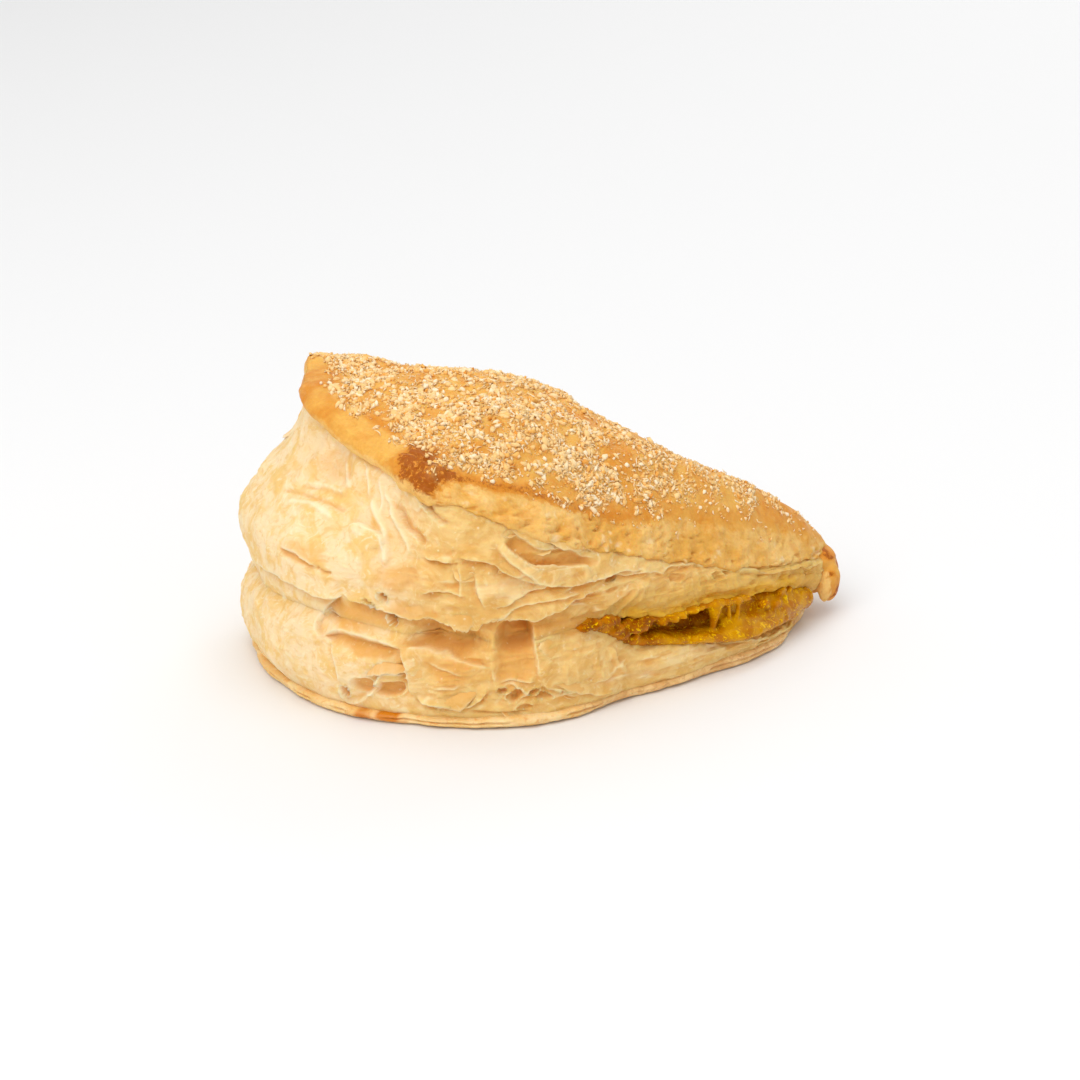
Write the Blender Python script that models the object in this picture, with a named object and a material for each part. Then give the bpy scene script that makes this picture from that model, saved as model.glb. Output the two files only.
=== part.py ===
"""A triangular puff pastry turnover with an apricot filling.

A square of puff dough is folded corner to corner. The fold runs along the back, from the
left corner to the right tip, and the two cut sides meet at the near corner. The pastry is
high at the left and thin at the right tip, where the filling shows in an open mouth.
Metres, +Z up, with the origin at the middle of the base.
"""

from math import cos, exp, hypot, pi, radians, sin

import bmesh
import bpy
from mathutils import Matrix, Vector

mm = 0.001

# Driving dimensions of the baked pastry.
middle = (-5.1, -0.05)          # the point that every plan radius is measured from
columns = 96                    # directions round the pastry
crustThickness = 2.4            # the bottom crust's rim
plateThickness = 4.6            # the top crust's rounded rim
plateHeight = 44.0              # the top crust's height over the origin
plateSlope = 0.458              # and how far it falls per millimetre towards the tip
foldSwell = 2.0                 # how far the fold bulges
foldDrop = 5.0                  # how much lower the top crust ends at the fold
leftDrop = 3.2                  # and at the left cut side
tipLift = 2.2                   # it flares up a little at the tip
domeHeight = 15.0               # the puffed top above its own rim
backSlope = 0.38                # how fast the top falls towards the fold, at the right
pieceGap = 0.35                 # between the filling and the pastry
crustLip = 0.7                  # the step from the bottom crust up to the layers
lobeSwell = 1.6                 # how far the lower half swells past the base at the left
layerWave = 0.5                 # the waviness of the cut sides
layerWaves = 17.0               # and how many waves there are round the pastry

# Plan radii by direction in degrees, +X first and then towards the fold at +Y:
# (direction, base crust, top crust, height of the crease between the two halves).
stations = (
    (10.0, 63.8, 62.8, 8.0),     # the mouth's end beside the tip
    (21.5, 77.0, 76.0, 6.2),     # the tip
    (34.0, 66.5, 63.5, 9.0),     # the fold, as far round as the left corner
    (50.0, 51.4, 47.6, 14.0),
    (85.0, 39.6, 36.0, 18.0),
    (122.0, 45.2, 40.0, 19.0),
    (146.0, 56.4, 47.5, 19.0),
    (160.0, 62.6, 51.0, 19.0),   # the left corner
    (172.0, 62.6, 49.0, 19.0),
    (190.0, 58.8, 47.6, 20.5),   # the left cut side
    (214.0, 53.8, 41.6, 22.5),
    (236.0, 47.2, 40.6, 20.5),
    (244.0, 45.2, 41.6, 20.0),   # the near corner
    (266.0, 41.5, 38.0, 19.8),
    (297.0, 37.4, 33.6, 20.5),   # the right cut side
    (315.0, 36.6, 33.2, 16.0),
    (343.0, 45.3, 39.4, 12.6),
    (354.0, 52.8, 47.2, 11.0),
)

# Raised blisters on the top crust: (x, y, height, reach).
blisters = (
    (46.0, 14.0, 2.0, 9.0),
    (0.0, 12.0, 1.4, 11.0),
    (-25.0, 6.0, -0.8, 12.0),
    (60.0, 20.0, 3.4, 8.0),
    (26.0, 18.0, -1.4, 10.0),
)


def smoothStep(low, high, value):
    share = min(max((value - low) / (high - low), 0.0), 1.0)
    return share * share * (3.0 - 2.0 * share)


def hermite(a, b, slopeA, slopeB, width, share):
    """A cubic from a to b with the given end slopes, at a share of the width."""
    square = share * share
    cube = square * share
    ends = (2 * cube - 3 * square + 1) * a + (3 * square - 2 * cube) * b
    return ends + width * ((cube - 2 * square + share) * slopeA + (cube - square) * slopeB)


def stationValue(direction, column):
    """A station column read in any direction, on a smooth closed curve."""
    count = len(stations)
    angle = direction % 360.0
    if angle < stations[0][0]:
        angle += 360.0
    first = max(i for i in range(count) if stations[i][0] <= angle)
    knots = []
    for step in (-1, 0, 1, 2):
        turn, index = divmod(first + step, count)
        knots.append((stations[index][0] + 360.0 * turn, stations[index][column]))
    (a0, v0), (a1, v1), (a2, v2), (a3, v3) = knots
    slope1 = (v2 - v0) / (a2 - a0)
    slope2 = (v3 - v1) / (a3 - a1)
    return hermite(v1, v2, slope1, slope2, a2 - a1, (angle - a1) / (a2 - a1))


def foldShare(direction):
    """1 along the fold, where one sheet wraps round, and 0 along the two cut sides."""
    angle = direction % 360.0
    return smoothStep(18.0, 36.0, angle) * (1.0 - smoothStep(140.0, 164.0, angle))


def leftShare(direction):
    """1 along the left cut side, which puffed out past the top crust."""
    angle = direction % 360.0
    return smoothStep(140.0, 175.0, angle) * (1.0 - smoothStep(205.0, 248.0, angle))


def planPoint(direction, radius):
    turn = radians(direction)
    return middle[0] + radius * cos(turn), middle[1] + radius * sin(turn)


def planeHeight(x):
    return plateHeight - plateSlope * x + tipLift * smoothStep(40.0, 64.0, x)


def rimHeight(direction):
    """The top crust's rim."""
    x, _ = planPoint(direction, stationValue(direction, 2))
    left = leftDrop * leftShare(direction)
    return planeHeight(x) - left - foldDrop * foldShare(direction)


def domeFall(direction, share):
    """0 at the dome's middle and 1 at its rim: straight to the left, full to the tip."""
    angle = radians(direction)
    blunt = share ** (2.2 + 3.6 * max(cos(angle - radians(20.0)), 0.0) ** 3)
    straight = (hypot(share, 0.3) - 0.3) / (hypot(1.0, 0.3) - 0.3)
    return blunt + (straight - blunt) * max(-cos(angle), 0.0)


def blisterHeight(x, y):
    total = 0.0
    for bx, by, height, reach in blisters:
        total += height * exp(-((x - bx) ** 2 + (y - by) ** 2) / reach ** 2)
    return total


def foldRadius(direction, height):
    """The fold's outside, where one sheet turns over from the base to the top."""
    base = stationValue(direction, 1)
    plate = stationValue(direction, 2)
    share = height / rimHeight(direction)
    swell = foldSwell * sin(pi * min(share, 1.0))
    return plate - 1.0 + (base + 1.0 - plate) * (1.0 - min(share, 1.0) ** 3) ** 0.5 + swell


def sideProfile(direction):
    """(radius, height) up the side, from the flat base to the top crust's upper edge."""
    fold = foldShare(direction)
    rings = []
    for radius, height in cutProfile(direction):
        folded = foldRadius(direction, height) - 5.0 * (1.0 - min(height, 1.4) / 1.4) ** 2
        rings.append((radius + (folded - radius) * fold, height))
    return rings


def cutProfile(direction):
    """The same where the dough was cut: its crust, two puffed halves and top crust."""
    base = stationValue(direction, 1)
    plate = stationValue(direction, 2)
    crease = stationValue(direction, 3)
    rim = rimHeight(direction)
    fold = foldShare(direction)
    left = leftShare(direction)
    cut = 1.0 - fold
    lip = crustThickness + crustLip
    lower = crease - lip
    upper = rim - plateThickness - crease
    lobe = base + (lobeSwell * left - 0.8 * (1.0 - left)) * cut
    puff = plate + (base - plate) * (0.35 + 0.65 * left) + 0.6 * left
    waist = base + (puff - base) * 0.5 - (2.4 + 1.2 * left) * cut
    neck = plate - 1.3 * cut - 0.5
    wave = layerWave * cut * sin(radians(direction) * layerWaves)
    return (
        (base - 6.0, 0.0),
        (base - 2.4, 0.15),
        (base - 0.5, 0.35 * crustThickness),
        (base, 0.75 * crustThickness),
        (base - 0.9 * cut, crustThickness),
        (base - 1.9 * cut - 0.1, lip),
        (lobe - 0.6 + wave, lip + 0.22 * lower),
        (lobe, lip + 0.5 * lower),
        (lobe - 0.6 - wave, lip + 0.78 * lower),
        (waist, crease),
        (puff - 0.9 + wave, crease + 0.14 * upper),
        (puff, crease + 0.34 * upper),
        (puff - 0.5 - 4.6 * left - wave, crease + 0.55 * upper),
        (neck + (puff - neck) * (0.35 - 0.2 * left), crease + 0.76 * upper),
        (neck, crease + 0.97 * upper),
        (plate - 0.3, rim - 0.75 * plateThickness),
        (plate, rim - 0.45 * plateThickness),
        (plate - 1.0, rim - 0.08 * plateThickness),
    )


def topPoint(direction, share):
    """The top crust's surface, at a share of the way from its middle to its rim."""
    plate = stationValue(direction, 2) - 2.4
    x, y = planPoint(direction, plate * share)
    rimDrop = foldDrop * foldShare(direction) + leftDrop * leftShare(direction)
    fall = domeFall(direction, share)
    raised = domeHeight * (1.0 - fall) + blisterHeight(x, y) * (1.0 - share ** 6)
    backFall = backSlope * max(y - 6.0, 0.0) * smoothStep(-20.0, 30.0, x) * (1.0 - fall)
    rim = 0.25 * plateThickness * fall - rimDrop * share ** 2
    z = planeHeight(x) + raised - backFall + rim
    return Vector((x, y, z))


def pastryRings():
    """Closed loops of points from the flat base, up the side and in over the dome."""
    directions = [360.0 * i / columns for i in range(columns)]
    profiles = [sideProfile(direction) for direction in directions]
    rings = []
    for row in range(len(profiles[0])):
        ring = []
        for direction, profile in zip(directions, profiles):
            radius, height = profile[row]
            ring.append(Vector((*planPoint(direction, radius), height)))
        rings.append(ring)
    for share in (1.0, 0.93, 0.84, 0.73, 0.61, 0.48, 0.34, 0.2, 0.09):
        rings.append([topPoint(direction, share) for direction in directions])
    return rings


def meshFromRings(name, rings, bottom, top):
    """A closed mesh through the rings, with a point at each end."""
    bm = bmesh.new()
    loops = [[bm.verts.new(point * mm) for point in ring] for ring in rings]
    lowest = bm.verts.new(bottom * mm)
    highest = bm.verts.new(top * mm)
    count = len(rings[0])
    for i in range(count):
        j = (i + 1) % count
        bm.faces.new((lowest, loops[0][j], loops[0][i]))
        for lower, upper in zip(loops, loops[1:]):
            bm.faces.new((lower[i], lower[j], upper[j], upper[i]))
        bm.faces.new((highest, loops[-1][i], loops[-1][j]))
    bmesh.ops.recalc_face_normals(bm, faces=bm.faces[:])
    mesh = bpy.data.meshes.new(name)
    bm.to_mesh(mesh)
    bm.free()
    mesh.shade_smooth()
    mesh.set_sharp_from_angle(angle=radians(50))
    obj = bpy.data.objects.new(name, mesh)
    bpy.context.scene.collection.objects.link(obj)
    return obj


# The pocket between the two halves lies in the crease and opens at the mouth.
pocketReach = 0.62              # its plan radius inside, as a share of the crust's
pocketHeight = 19.0             # its height at the pastry's middle
mouthFrom, mouthTo = 294.0, 381.0    # the directions between which it is open
mouthGap = 5.2                  # its clear height, and how much more there is by the tip
mouthRise = 3.4
mouthProud = 0.8                # how far the filling swells past the mouth
cutterReach = 12.0              # how far the cutter runs past the wall


def mouthAngle(direction):
    """The direction counted on past 360, so that the mouth is one stretch."""
    return (direction - 180.0) % 360.0 + 180.0


def mouthShare(direction):
    """1 in the mouth and 0 where the pocket is closed."""
    angle = mouthAngle(direction)
    opening = smoothStep(mouthFrom - 8.0, mouthFrom + 22.0, angle)
    return opening * (1.0 - smoothStep(mouthTo - 18.0, mouthTo + 2.0, angle))


def gapHeight(direction):
    return mouthGap + mouthRise * smoothStep(322.0, 352.0, mouthAngle(direction))


def lensPoint(direction, share, side, shrink, proud):
    """A point on the pocket's lower or upper face, shrunk for what fills it."""
    opened = mouthShare(direction)
    base = stationValue(direction, 1)
    reach = base * (pocketReach + (1.0 - pocketReach) * opened)
    radius = share * (reach - shrink * (1.0 - opened)) + proud * (0.2 + 0.8 * opened)
    crease = stationValue(direction, 3)
    z = pocketHeight + (crease - pocketHeight) * (share * reach / base) ** 1.4
    closing = (1.0 - share ** 4) ** 0.5 * (1.0 - opened) + opened
    half = max(0.5 * gapHeight(direction) * closing - shrink, 0.25)
    return Vector((*planPoint(direction, radius), z + side * half))


def lens(name, shrink, proud):
    """A lens for the pocket: it closes to an edge inside the pastry."""
    directions = [5.625 * i for i in range(64)]
    levels = [(0.3, 0.0), (0.6, 0.0), (0.82, 0.0), (0.93, 0.0), (1.0, 0.0), (1.0, proud)]
    rings = []
    for share, past in levels:
        rings.append([lensPoint(turn, share, -1.0, shrink, past) for turn in directions])
    for share, past in reversed(levels):
        rings.append([lensPoint(turn, share, 1.0, shrink, past) for turn in directions])
    half = Vector((0.0, 0.0, 0.5 * mouthGap - shrink))
    centre = Vector((*middle, pocketHeight))
    return meshFromRings(name, rings, centre - half, centre + half)


knobRadii = (3.4, 5.0, 6.2)     # the small curled end of dough at the tip
knobPlace = (65.1, 24.5, 7.2)
knobLean = -12.0                # degrees


def tipKnob():
    bm = bmesh.new()
    bmesh.ops.create_uvsphere(bm, u_segments=16, v_segments=10, radius=1.0)
    scale = Matrix.Diagonal((*(Vector(knobRadii) * mm), 1.0))
    place = Matrix.Translation(Vector(knobPlace) * mm)
    bm.transform(place @ Matrix.Rotation(radians(knobLean), 4, "Y") @ scale)
    mesh = bpy.data.meshes.new("tipKnob")
    bm.to_mesh(mesh)
    bm.free()
    obj = bpy.data.objects.new("tipKnob", mesh)
    bpy.context.scene.collection.objects.link(obj)
    return obj


def useBoolean(obj, operation, other):
    modifier = obj.modifiers.new(operation.lower(), "BOOLEAN")
    modifier.operation = operation
    modifier.object = other
    other.hide_render = True
    other.display_type = "WIRE"


def addMaterial(obj, name, colour, roughness):
    material = bpy.data.materials.new(name)
    material.use_nodes = True
    shader = material.node_tree.nodes["Principled BSDF"]
    shader.inputs["Base Color"].default_value = (*colour, 1.0)
    shader.inputs["Roughness"].default_value = roughness
    shader.inputs["Metallic"].default_value = 0.0
    obj.data.materials.append(material)


def main():
    for obj in list(bpy.data.objects):
        bpy.data.objects.remove(obj)
    top = topPoint(0.0, 0.0)
    base = Vector((middle[0], middle[1], 0.0))
    pastry = meshFromRings("pastry", pastryRings(), base, top)
    useBoolean(pastry, "UNION", tipKnob())
    useBoolean(pastry, "DIFFERENCE", lens("pocket", 0.0, cutterReach))
    addMaterial(pastry, "baked puff pastry", (0.78, 0.53, 0.24), 0.6)
    filling = lens("apricot_filling", pieceGap, mouthProud)
    addMaterial(filling, "apricot filling", (0.86, 0.50, 0.02), 0.2)


main()
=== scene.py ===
# Looks of a baked apricot and coconut turnover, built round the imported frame.
import math

import bmesh
import bpy
import numpy as np
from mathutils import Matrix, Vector


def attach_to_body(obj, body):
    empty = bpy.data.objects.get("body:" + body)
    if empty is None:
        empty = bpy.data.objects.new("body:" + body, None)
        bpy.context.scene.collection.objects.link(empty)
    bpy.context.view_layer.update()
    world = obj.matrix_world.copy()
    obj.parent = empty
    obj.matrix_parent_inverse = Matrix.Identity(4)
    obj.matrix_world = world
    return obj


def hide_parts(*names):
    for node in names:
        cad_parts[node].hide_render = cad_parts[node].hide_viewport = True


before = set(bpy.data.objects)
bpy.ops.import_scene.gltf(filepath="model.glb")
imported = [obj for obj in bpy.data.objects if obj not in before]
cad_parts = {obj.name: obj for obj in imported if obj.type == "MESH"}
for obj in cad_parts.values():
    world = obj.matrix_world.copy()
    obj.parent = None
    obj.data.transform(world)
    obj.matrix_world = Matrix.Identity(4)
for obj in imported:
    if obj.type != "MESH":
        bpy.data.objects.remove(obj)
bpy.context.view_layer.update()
print("frame loaded")

mm = 0.001
radian = 57.3                    # degrees in one, near enough

# The pastry's plan, about its middle, in mm: direction, base crust, top crust, crease height.
middle = (-5.1, -0.05)
stations = (
    (10.0, 63.8, 62.8, 8.0),     # the mouth's end beside the tip
    (21.5, 77.0, 76.0, 6.2),     # the tip
    (34.0, 66.5, 63.5, 9.0),     # the fold, as far round as the left corner
    (50.0, 51.4, 47.6, 14.0),
    (85.0, 39.6, 36.0, 18.0),
    (122.0, 45.2, 40.0, 19.0),
    (146.0, 56.4, 47.5, 19.0),
    (160.0, 62.6, 51.0, 19.0),   # the left corner
    (172.0, 62.6, 49.0, 19.0),
    (190.0, 58.8, 47.6, 20.5),   # the left cut side
    (214.0, 53.8, 41.6, 22.5),
    (236.0, 47.2, 40.6, 20.5),
    (244.0, 45.2, 41.6, 20.0),   # the near corner
    (266.0, 41.5, 38.0, 19.8),
    (297.0, 37.4, 33.6, 20.5),   # the right cut side
    (315.0, 36.6, 33.2, 16.0),
    (343.0, 45.3, 39.4, 12.6),
    (354.0, 52.8, 47.2, 11.0),
)
form = dict(
    crustThickness=2.4,          # bottom crust
    plateThickness=4.6,          # top crust's rounded rim
    plateHeight=44.0,            # top crust over the origin
    plateSlope=0.458,            # its fall towards the tip
    tipLift=2.2,                 # how much less it falls at the tip
    domeHeight=15.0,             # the middle over the rim
    foldDrop=5.0,                # the rim's fall over the fold and at the left side
    leftDrop=3.2,
    foldSwell=2.0,
    backSlope=0.38,              # the dome's fall towards the back
    pocketHeight=19.0,           # middle of the hollow that holds the jelly
    mouthFrom=294.0,             # directions between which the mouth is open
    mouthTo=381.0,
    mouthGap=5.2,                # how far it is open, and how much more at its right end
    mouthRise=3.4,
)
blisters = (                     # x, y, height, reach on the top crust
    (46.0, 14.0, 2.0, 9.0),
    (0.0, 12.0, 1.4, 11.0),
    (-25.0, 6.0, -0.8, 12.0),
    (60.0, 20.0, 3.4, 8.0),
    (26.0, 18.0, -1.4, 10.0),
)


# Numbers over the surface
def ramp(low, high, value):
    share = np.clip((np.asarray(value, float) - low) / (high - low), 0.0, 1.0)
    return share * share * (3.0 - 2.0 * share)


def hill(centre, reach, value):
    return np.exp(-((np.asarray(value, float) - centre) / reach) ** 2)


def blend(a, b, share):
    return a + (b - a) * share


def cellHash(x, y, z, seed):
    mixed = (x * 374761393 + y * 668265263 + z * 1442695041 + seed * 97471197) & 0xFFFFFFFF
    mixed = ((mixed ^ (mixed >> 13)) * 1274126177) & 0xFFFFFFFF
    return ((mixed ^ (mixed >> 16)) & 0xFFFFF) / 1048575.0


def softNoise(points, size, seed):
    # smooth value noise from -1 to 1
    scaled = points / size
    cell = np.floor(scaled).astype(np.int64)
    part = scaled - cell
    part = part * part * part * (part * (part * 6.0 - 15.0) + 10.0)
    total = np.zeros(points.shape[:-1])
    for corner in range(8):
        step = (corner & 1, corner >> 1 & 1, corner >> 2)
        weight = 1.0
        for axis in range(3):
            weight = weight * (part[..., axis] if step[axis] else 1.0 - part[..., axis])
        total += weight * cellHash(
            cell[..., 0] + step[0], cell[..., 1] + step[1], cell[..., 2] + step[2], seed)
    return total * 2.0 - 1.0


def fractal(points, size, octaves, seed, rough=0.5):
    total = 0.0
    weight = 1.0
    norm = 0.0
    for octave in range(octaves):
        total = total + weight * softNoise(points, size / 2.0 ** octave, seed + octave * 17)
        norm += weight
        weight *= rough
    return total / norm


def shifted(points, by, size, seed):
    # points moved a little by a noise
    return points + by * softNoise(points, size, seed)[..., None]


def creased(points, size, seed):
    # noise with a sharp crest where it passes through 0
    return 1.0 - np.abs(softNoise(points, size, seed))


def cells(points, size, seed):
    # distance to the nearest and second nearest scattered seed, in cell sizes, and its hash
    scaled = points / size
    cell = np.floor(scaled).astype(np.int64)
    first = np.full(points.shape[:-1], 9.0)
    second = np.full(points.shape[:-1], 9.0)
    mark = np.zeros(points.shape[:-1])
    for dx in (-1, 0, 1):
        for dy in (-1, 0, 1):
            for dz in (-1, 0, 1):
                near = cell + np.array((dx, dy, dz))
                x, y, z = near[..., 0], near[..., 1], near[..., 2]
                away = np.stack([
                    near[..., axis] + cellHash(x, y, z, seed + axis + 1) for axis in range(3)
                ], -1) - scaled
                away = np.sqrt((away ** 2).sum(-1))
                closer = away < first
                second = np.where(closer, first, np.minimum(second, away))
                mark = np.where(closer, cellHash(x, y, z, seed + 9), mark)
                first = np.where(closer, away, first)
    return first, second, mark


def hermite(share):
    # how much two values and then their slopes count between them
    square, cube = share ** 2, share ** 3
    values = 2 * cube - 3 * square + 1, 3 * square - 2 * cube
    slopes = cube - 2 * square + share, cube - square
    return (*values, *slopes)


# Plan and heights
stationTable = np.array(stations)


def around(direction, column):
    # a station column read at any directions, on a smooth closed curve
    angles = stationTable[:, 0]
    values = stationTable[:, column]
    wide = np.concatenate([angles - 360.0, angles, angles + 360.0])
    tall = np.concatenate([values] * 3)
    slopes = (np.roll(tall, -1) - np.roll(tall, 1)) / (np.roll(wide, -1) - np.roll(wide, 1))
    where = np.clip(np.searchsorted(wide, np.mod(direction, 360.0), "right") - 1, 1, len(wide) - 3)
    width = wide[where + 1] - wide[where]
    start, end, leaving, arriving = hermite((np.mod(direction, 360.0) - wide[where]) / width)
    value = start * tall[where] + end * tall[where + 1]
    return value + width * (leaving * slopes[where] + arriving * slopes[where + 1])


def oneAround(direction, column):
    return float(around(np.array([direction]), column)[0])


def foldShare(direction):
    angle = np.mod(direction, 360.0)
    return ramp(18.0, 36.0, angle) * (1.0 - ramp(140.0, 164.0, angle))


def leftShare(direction):
    angle = np.mod(direction, 360.0)
    return ramp(140.0, 175.0, angle) * (1.0 - ramp(205.0, 248.0, angle))


def mouthAngle(direction):
    return np.mod(np.asarray(direction, float) - 180.0, 360.0) + 180.0


def sideAngle(direction):
    # directions without a jump on the cut sides, which run from 146 to 381
    return np.mod(np.asarray(direction, float) - 100.0, 360.0) + 100.0


def mouthShare(direction):
    angle = mouthAngle(direction)
    opening = ramp(form["mouthFrom"] - 8.0, form["mouthFrom"] + 22.0, angle)
    return opening * (1.0 - ramp(form["mouthTo"] - 14.0, form["mouthTo"], angle))


def gapHeight(direction):
    return form["mouthGap"] + form["mouthRise"] * ramp(322.0, 352.0, mouthAngle(direction))


def halfGap(direction):
    return 0.5 * float(gapHeight(direction)) * float(mouthShare(direction))


def planeHeight(x):
    return form["plateHeight"] - form["plateSlope"] * x + form["tipLift"] * ramp(40.0, 64.0, x)


def planX(direction, radius):
    return middle[0] + radius * np.cos(np.radians(direction))


def planY(direction, radius):
    return middle[1] + radius * np.sin(np.radians(direction))


def directionOf(spots):
    return np.degrees(np.arctan2(spots[:, 1] - middle[1], spots[:, 0] - middle[0]))


def radiusOf(spots):
    return np.hypot(spots[:, 1] - middle[1], spots[:, 0] - middle[0])


def place(direction, radius, height):
    return np.stack(np.broadcast_arrays(
        planX(direction, radius), planY(direction, radius), height), -1)


def rimHeight(direction):
    x = planX(direction, around(direction, 2))
    return (planeHeight(x) - form["leftDrop"] * leftShare(direction)
            - form["foldDrop"] * foldShare(direction))


def domeFall(direction, share):
    angle = np.radians(direction)
    blunt = share ** (2.2 + 3.6 * np.maximum(np.cos(angle - math.radians(20.0)), 0.0) ** 3)
    straight = (np.hypot(share, 0.3) - 0.3) / (math.hypot(1.0, 0.3) - 0.3)
    return blunt + (straight - blunt) * np.maximum(-np.cos(angle), 0.0)


def domePoint(direction, share):
    plate = around(direction, 2) - 2.4
    x = planX(direction, plate * share)
    y = planY(direction, plate * share)
    drop = form["foldDrop"] * foldShare(direction) + form["leftDrop"] * leftShare(direction)
    fall = domeFall(direction, share)
    raised = form["domeHeight"] * (1.0 - fall)
    for bx, by, height, reach in blisters:
        raised = raised + height * np.exp(
            -((x - bx) ** 2 + (y - by) ** 2) / reach ** 2) * (1.0 - share ** 6)
    back = form["backSlope"] * np.maximum(y - 6.0, 0.0) * ramp(-20.0, 30.0, x) * (1.0 - fall)
    rim = 0.25 * form["plateThickness"] * fall - drop * share ** 2
    return np.stack([x, y, planeHeight(x) + raised - back + rim], -1)


def foldRadius(direction, height):
    base = around(direction, 1)
    plate = around(direction, 2)
    share = np.clip(height / rimHeight(direction), 0.0, 1.0)
    swell = form["foldSwell"] * np.sin(math.pi * share)
    return plate - 1.0 + (base + 1.0 - plate) * np.sqrt(1.0 - share ** 3) + swell


# Meshes
def makeMesh(name, points, faces, smooth=True):
    mesh = bpy.data.meshes.new(name)
    mesh.vertices.add(len(points))
    mesh.vertices.foreach_set("co", (np.asarray(points) * mm).astype(np.float32).ravel())
    if isinstance(faces, list):
        sizes = np.array([len(face) for face in faces])
        flat = np.concatenate(faces)
    else:
        sizes = np.full(len(faces), faces.shape[1])
        flat = faces.ravel()
    mesh.loops.add(len(flat))
    mesh.loops.foreach_set("vertex_index", flat.astype(np.int32))
    mesh.polygons.add(len(sizes))
    starts = np.concatenate([[0], np.cumsum(sizes)[:-1]])
    mesh.polygons.foreach_set("loop_start", starts.astype(np.int32))
    mesh.update(calc_edges=True)
    mesh.validate()
    if smooth:
        mesh.shade_smooth()
    obj = bpy.data.objects.new(name, mesh)
    bpy.context.scene.collection.objects.link(obj)
    return obj


def readPoints(mesh, kind="co"):
    values = np.empty(len(mesh.vertices) * 3, np.float32)
    mesh.vertices.foreach_get(kind, values)
    return values.reshape(-1, 3)


def paint(obj, name, values):
    # one number for each point, for the finish to read
    layer = obj.data.attributes.new(name, "FLOAT", "POINT")
    layer.data.foreach_set("value", np.asarray(values, np.float32).ravel())


def ringFaces(rows, columns):
    # quads of a grid that closes round its columns, as triangles at two end points
    index = np.arange(rows * columns).reshape(rows, columns)
    right = np.roll(index, -1, axis=1)
    quads = np.stack([index[:-1], right[:-1], right[1:], index[1:]], -1).reshape(-1, 4)
    low = np.stack([np.full(columns, rows * columns), right[0], index[0]], -1)
    high = np.stack([np.full(columns, rows * columns + 1), index[-1], right[-1]], -1)
    return [*quads, *low, *high]


def paintRings(obj, name, values, grid):
    # the same for a ring mesh, with 0 at its two end points
    spread = np.broadcast_to(values, grid.shape[:2]).ravel()
    paint(obj, name, np.concatenate([spread, [0.0, 0.0]]))


def ringMesh(name, grid, lowPoint, highPoint):
    rows, columns = grid.shape[:2]
    points = np.concatenate([grid.reshape(-1, 3), [lowPoint], [highPoint]])
    return makeMesh(name, points, ringFaces(rows, columns))


def gridNormals(grid):
    along = np.roll(grid, -1, axis=1) - np.roll(grid, 1, axis=1)
    up = np.gradient(grid, axis=0)
    cross = np.cross(along, up)
    return cross / np.maximum(np.linalg.norm(cross, axis=-1, keepdims=True), 1e-9)


def columnDirections(count, finest):
    # more columns along the cut sides than along the smooth fold
    fine = np.linspace(0.0, 360.0, 7201)
    radius = around(fine, 1)
    step = np.hypot(np.gradient(planX(fine, radius)), np.gradient(planY(fine, radius)))
    step = step * blend(1.0, finest, foldShare(fine))
    length = np.concatenate([[0.0], np.cumsum(0.5 * (step[1:] + step[:-1]))])
    return np.interp(np.arange(count) / count * length[-1], length, fine)


def sideSpline(knots, steps):
    # smooth rows through control rows: knots is a list of (radius, height) arrays
    table = np.array([np.stack(np.broadcast_arrays(*knot), 0) for knot in knots])
    slopes = np.gradient(table, axis=0)
    rows = []
    for i in range(len(knots) - 1):
        parts = (table[i], table[i + 1], slopes[i], slopes[i + 1])
        for share in np.arange(steps[i]) / steps[i]:
            rows.append(sum(weight * part for weight, part in zip(hermite(share), parts)))
    rows.append(table[-1])
    return np.array(rows)


# Shader nodes
class Wire:
    # a socket in a material, with arithmetic that adds Math nodes
    def __init__(self, tree, socket):
        self.tree = tree
        self.socket = socket

    def combine(self, operation, first, second):
        return addNode(self.tree, "Math", dict(operation=operation), {0: first, 1: second})

    def __add__(self, other):
        return self.combine("ADD", self, other)

    def __radd__(self, other):
        return self.combine("ADD", other, self)

    def __sub__(self, other):
        return self.combine("SUBTRACT", self, other)

    def __rsub__(self, other):
        return self.combine("SUBTRACT", other, self)

    def __mul__(self, other):
        return self.combine("MULTIPLY", self, other)

    def __rmul__(self, other):
        return self.combine("MULTIPLY", other, self)

    def between(self, low, high):
        return addNode(self.tree, "MapRange", dict(interpolation_type="SMOOTHSTEP"),
                       {"Value": self, "From Min": low, "From Max": high}, "Result")


def feed(tree, slot, value):
    if isinstance(value, Wire):
        tree.links.new(value.socket, slot)
    elif slot.type == "RGBA" and len(value) == 3:
        slot.default_value = (*value, 1.0)
    else:
        slot.default_value = value


def addNode(tree, kind, settings, sockets, output=0):
    # every node is made here: its settings come first, then the values or links of its sockets
    made = tree.nodes.new("ShaderNode" + kind)
    for key, value in settings.items():
        setattr(made, key, value)
    for key, value in sockets.items():
        feed(tree, made.inputs[key], value)
    return Wire(tree, made.outputs[output])


def linear(*colour):
    # a colour as it looks on a screen, 0 to 255, on the shader's own scale
    shares = [value / 255.0 for value in colour]
    return tuple(share / 12.92 if share <= 0.04045 else ((share + 0.055) / 1.055) ** 2.4
                 for share in shares)


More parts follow.
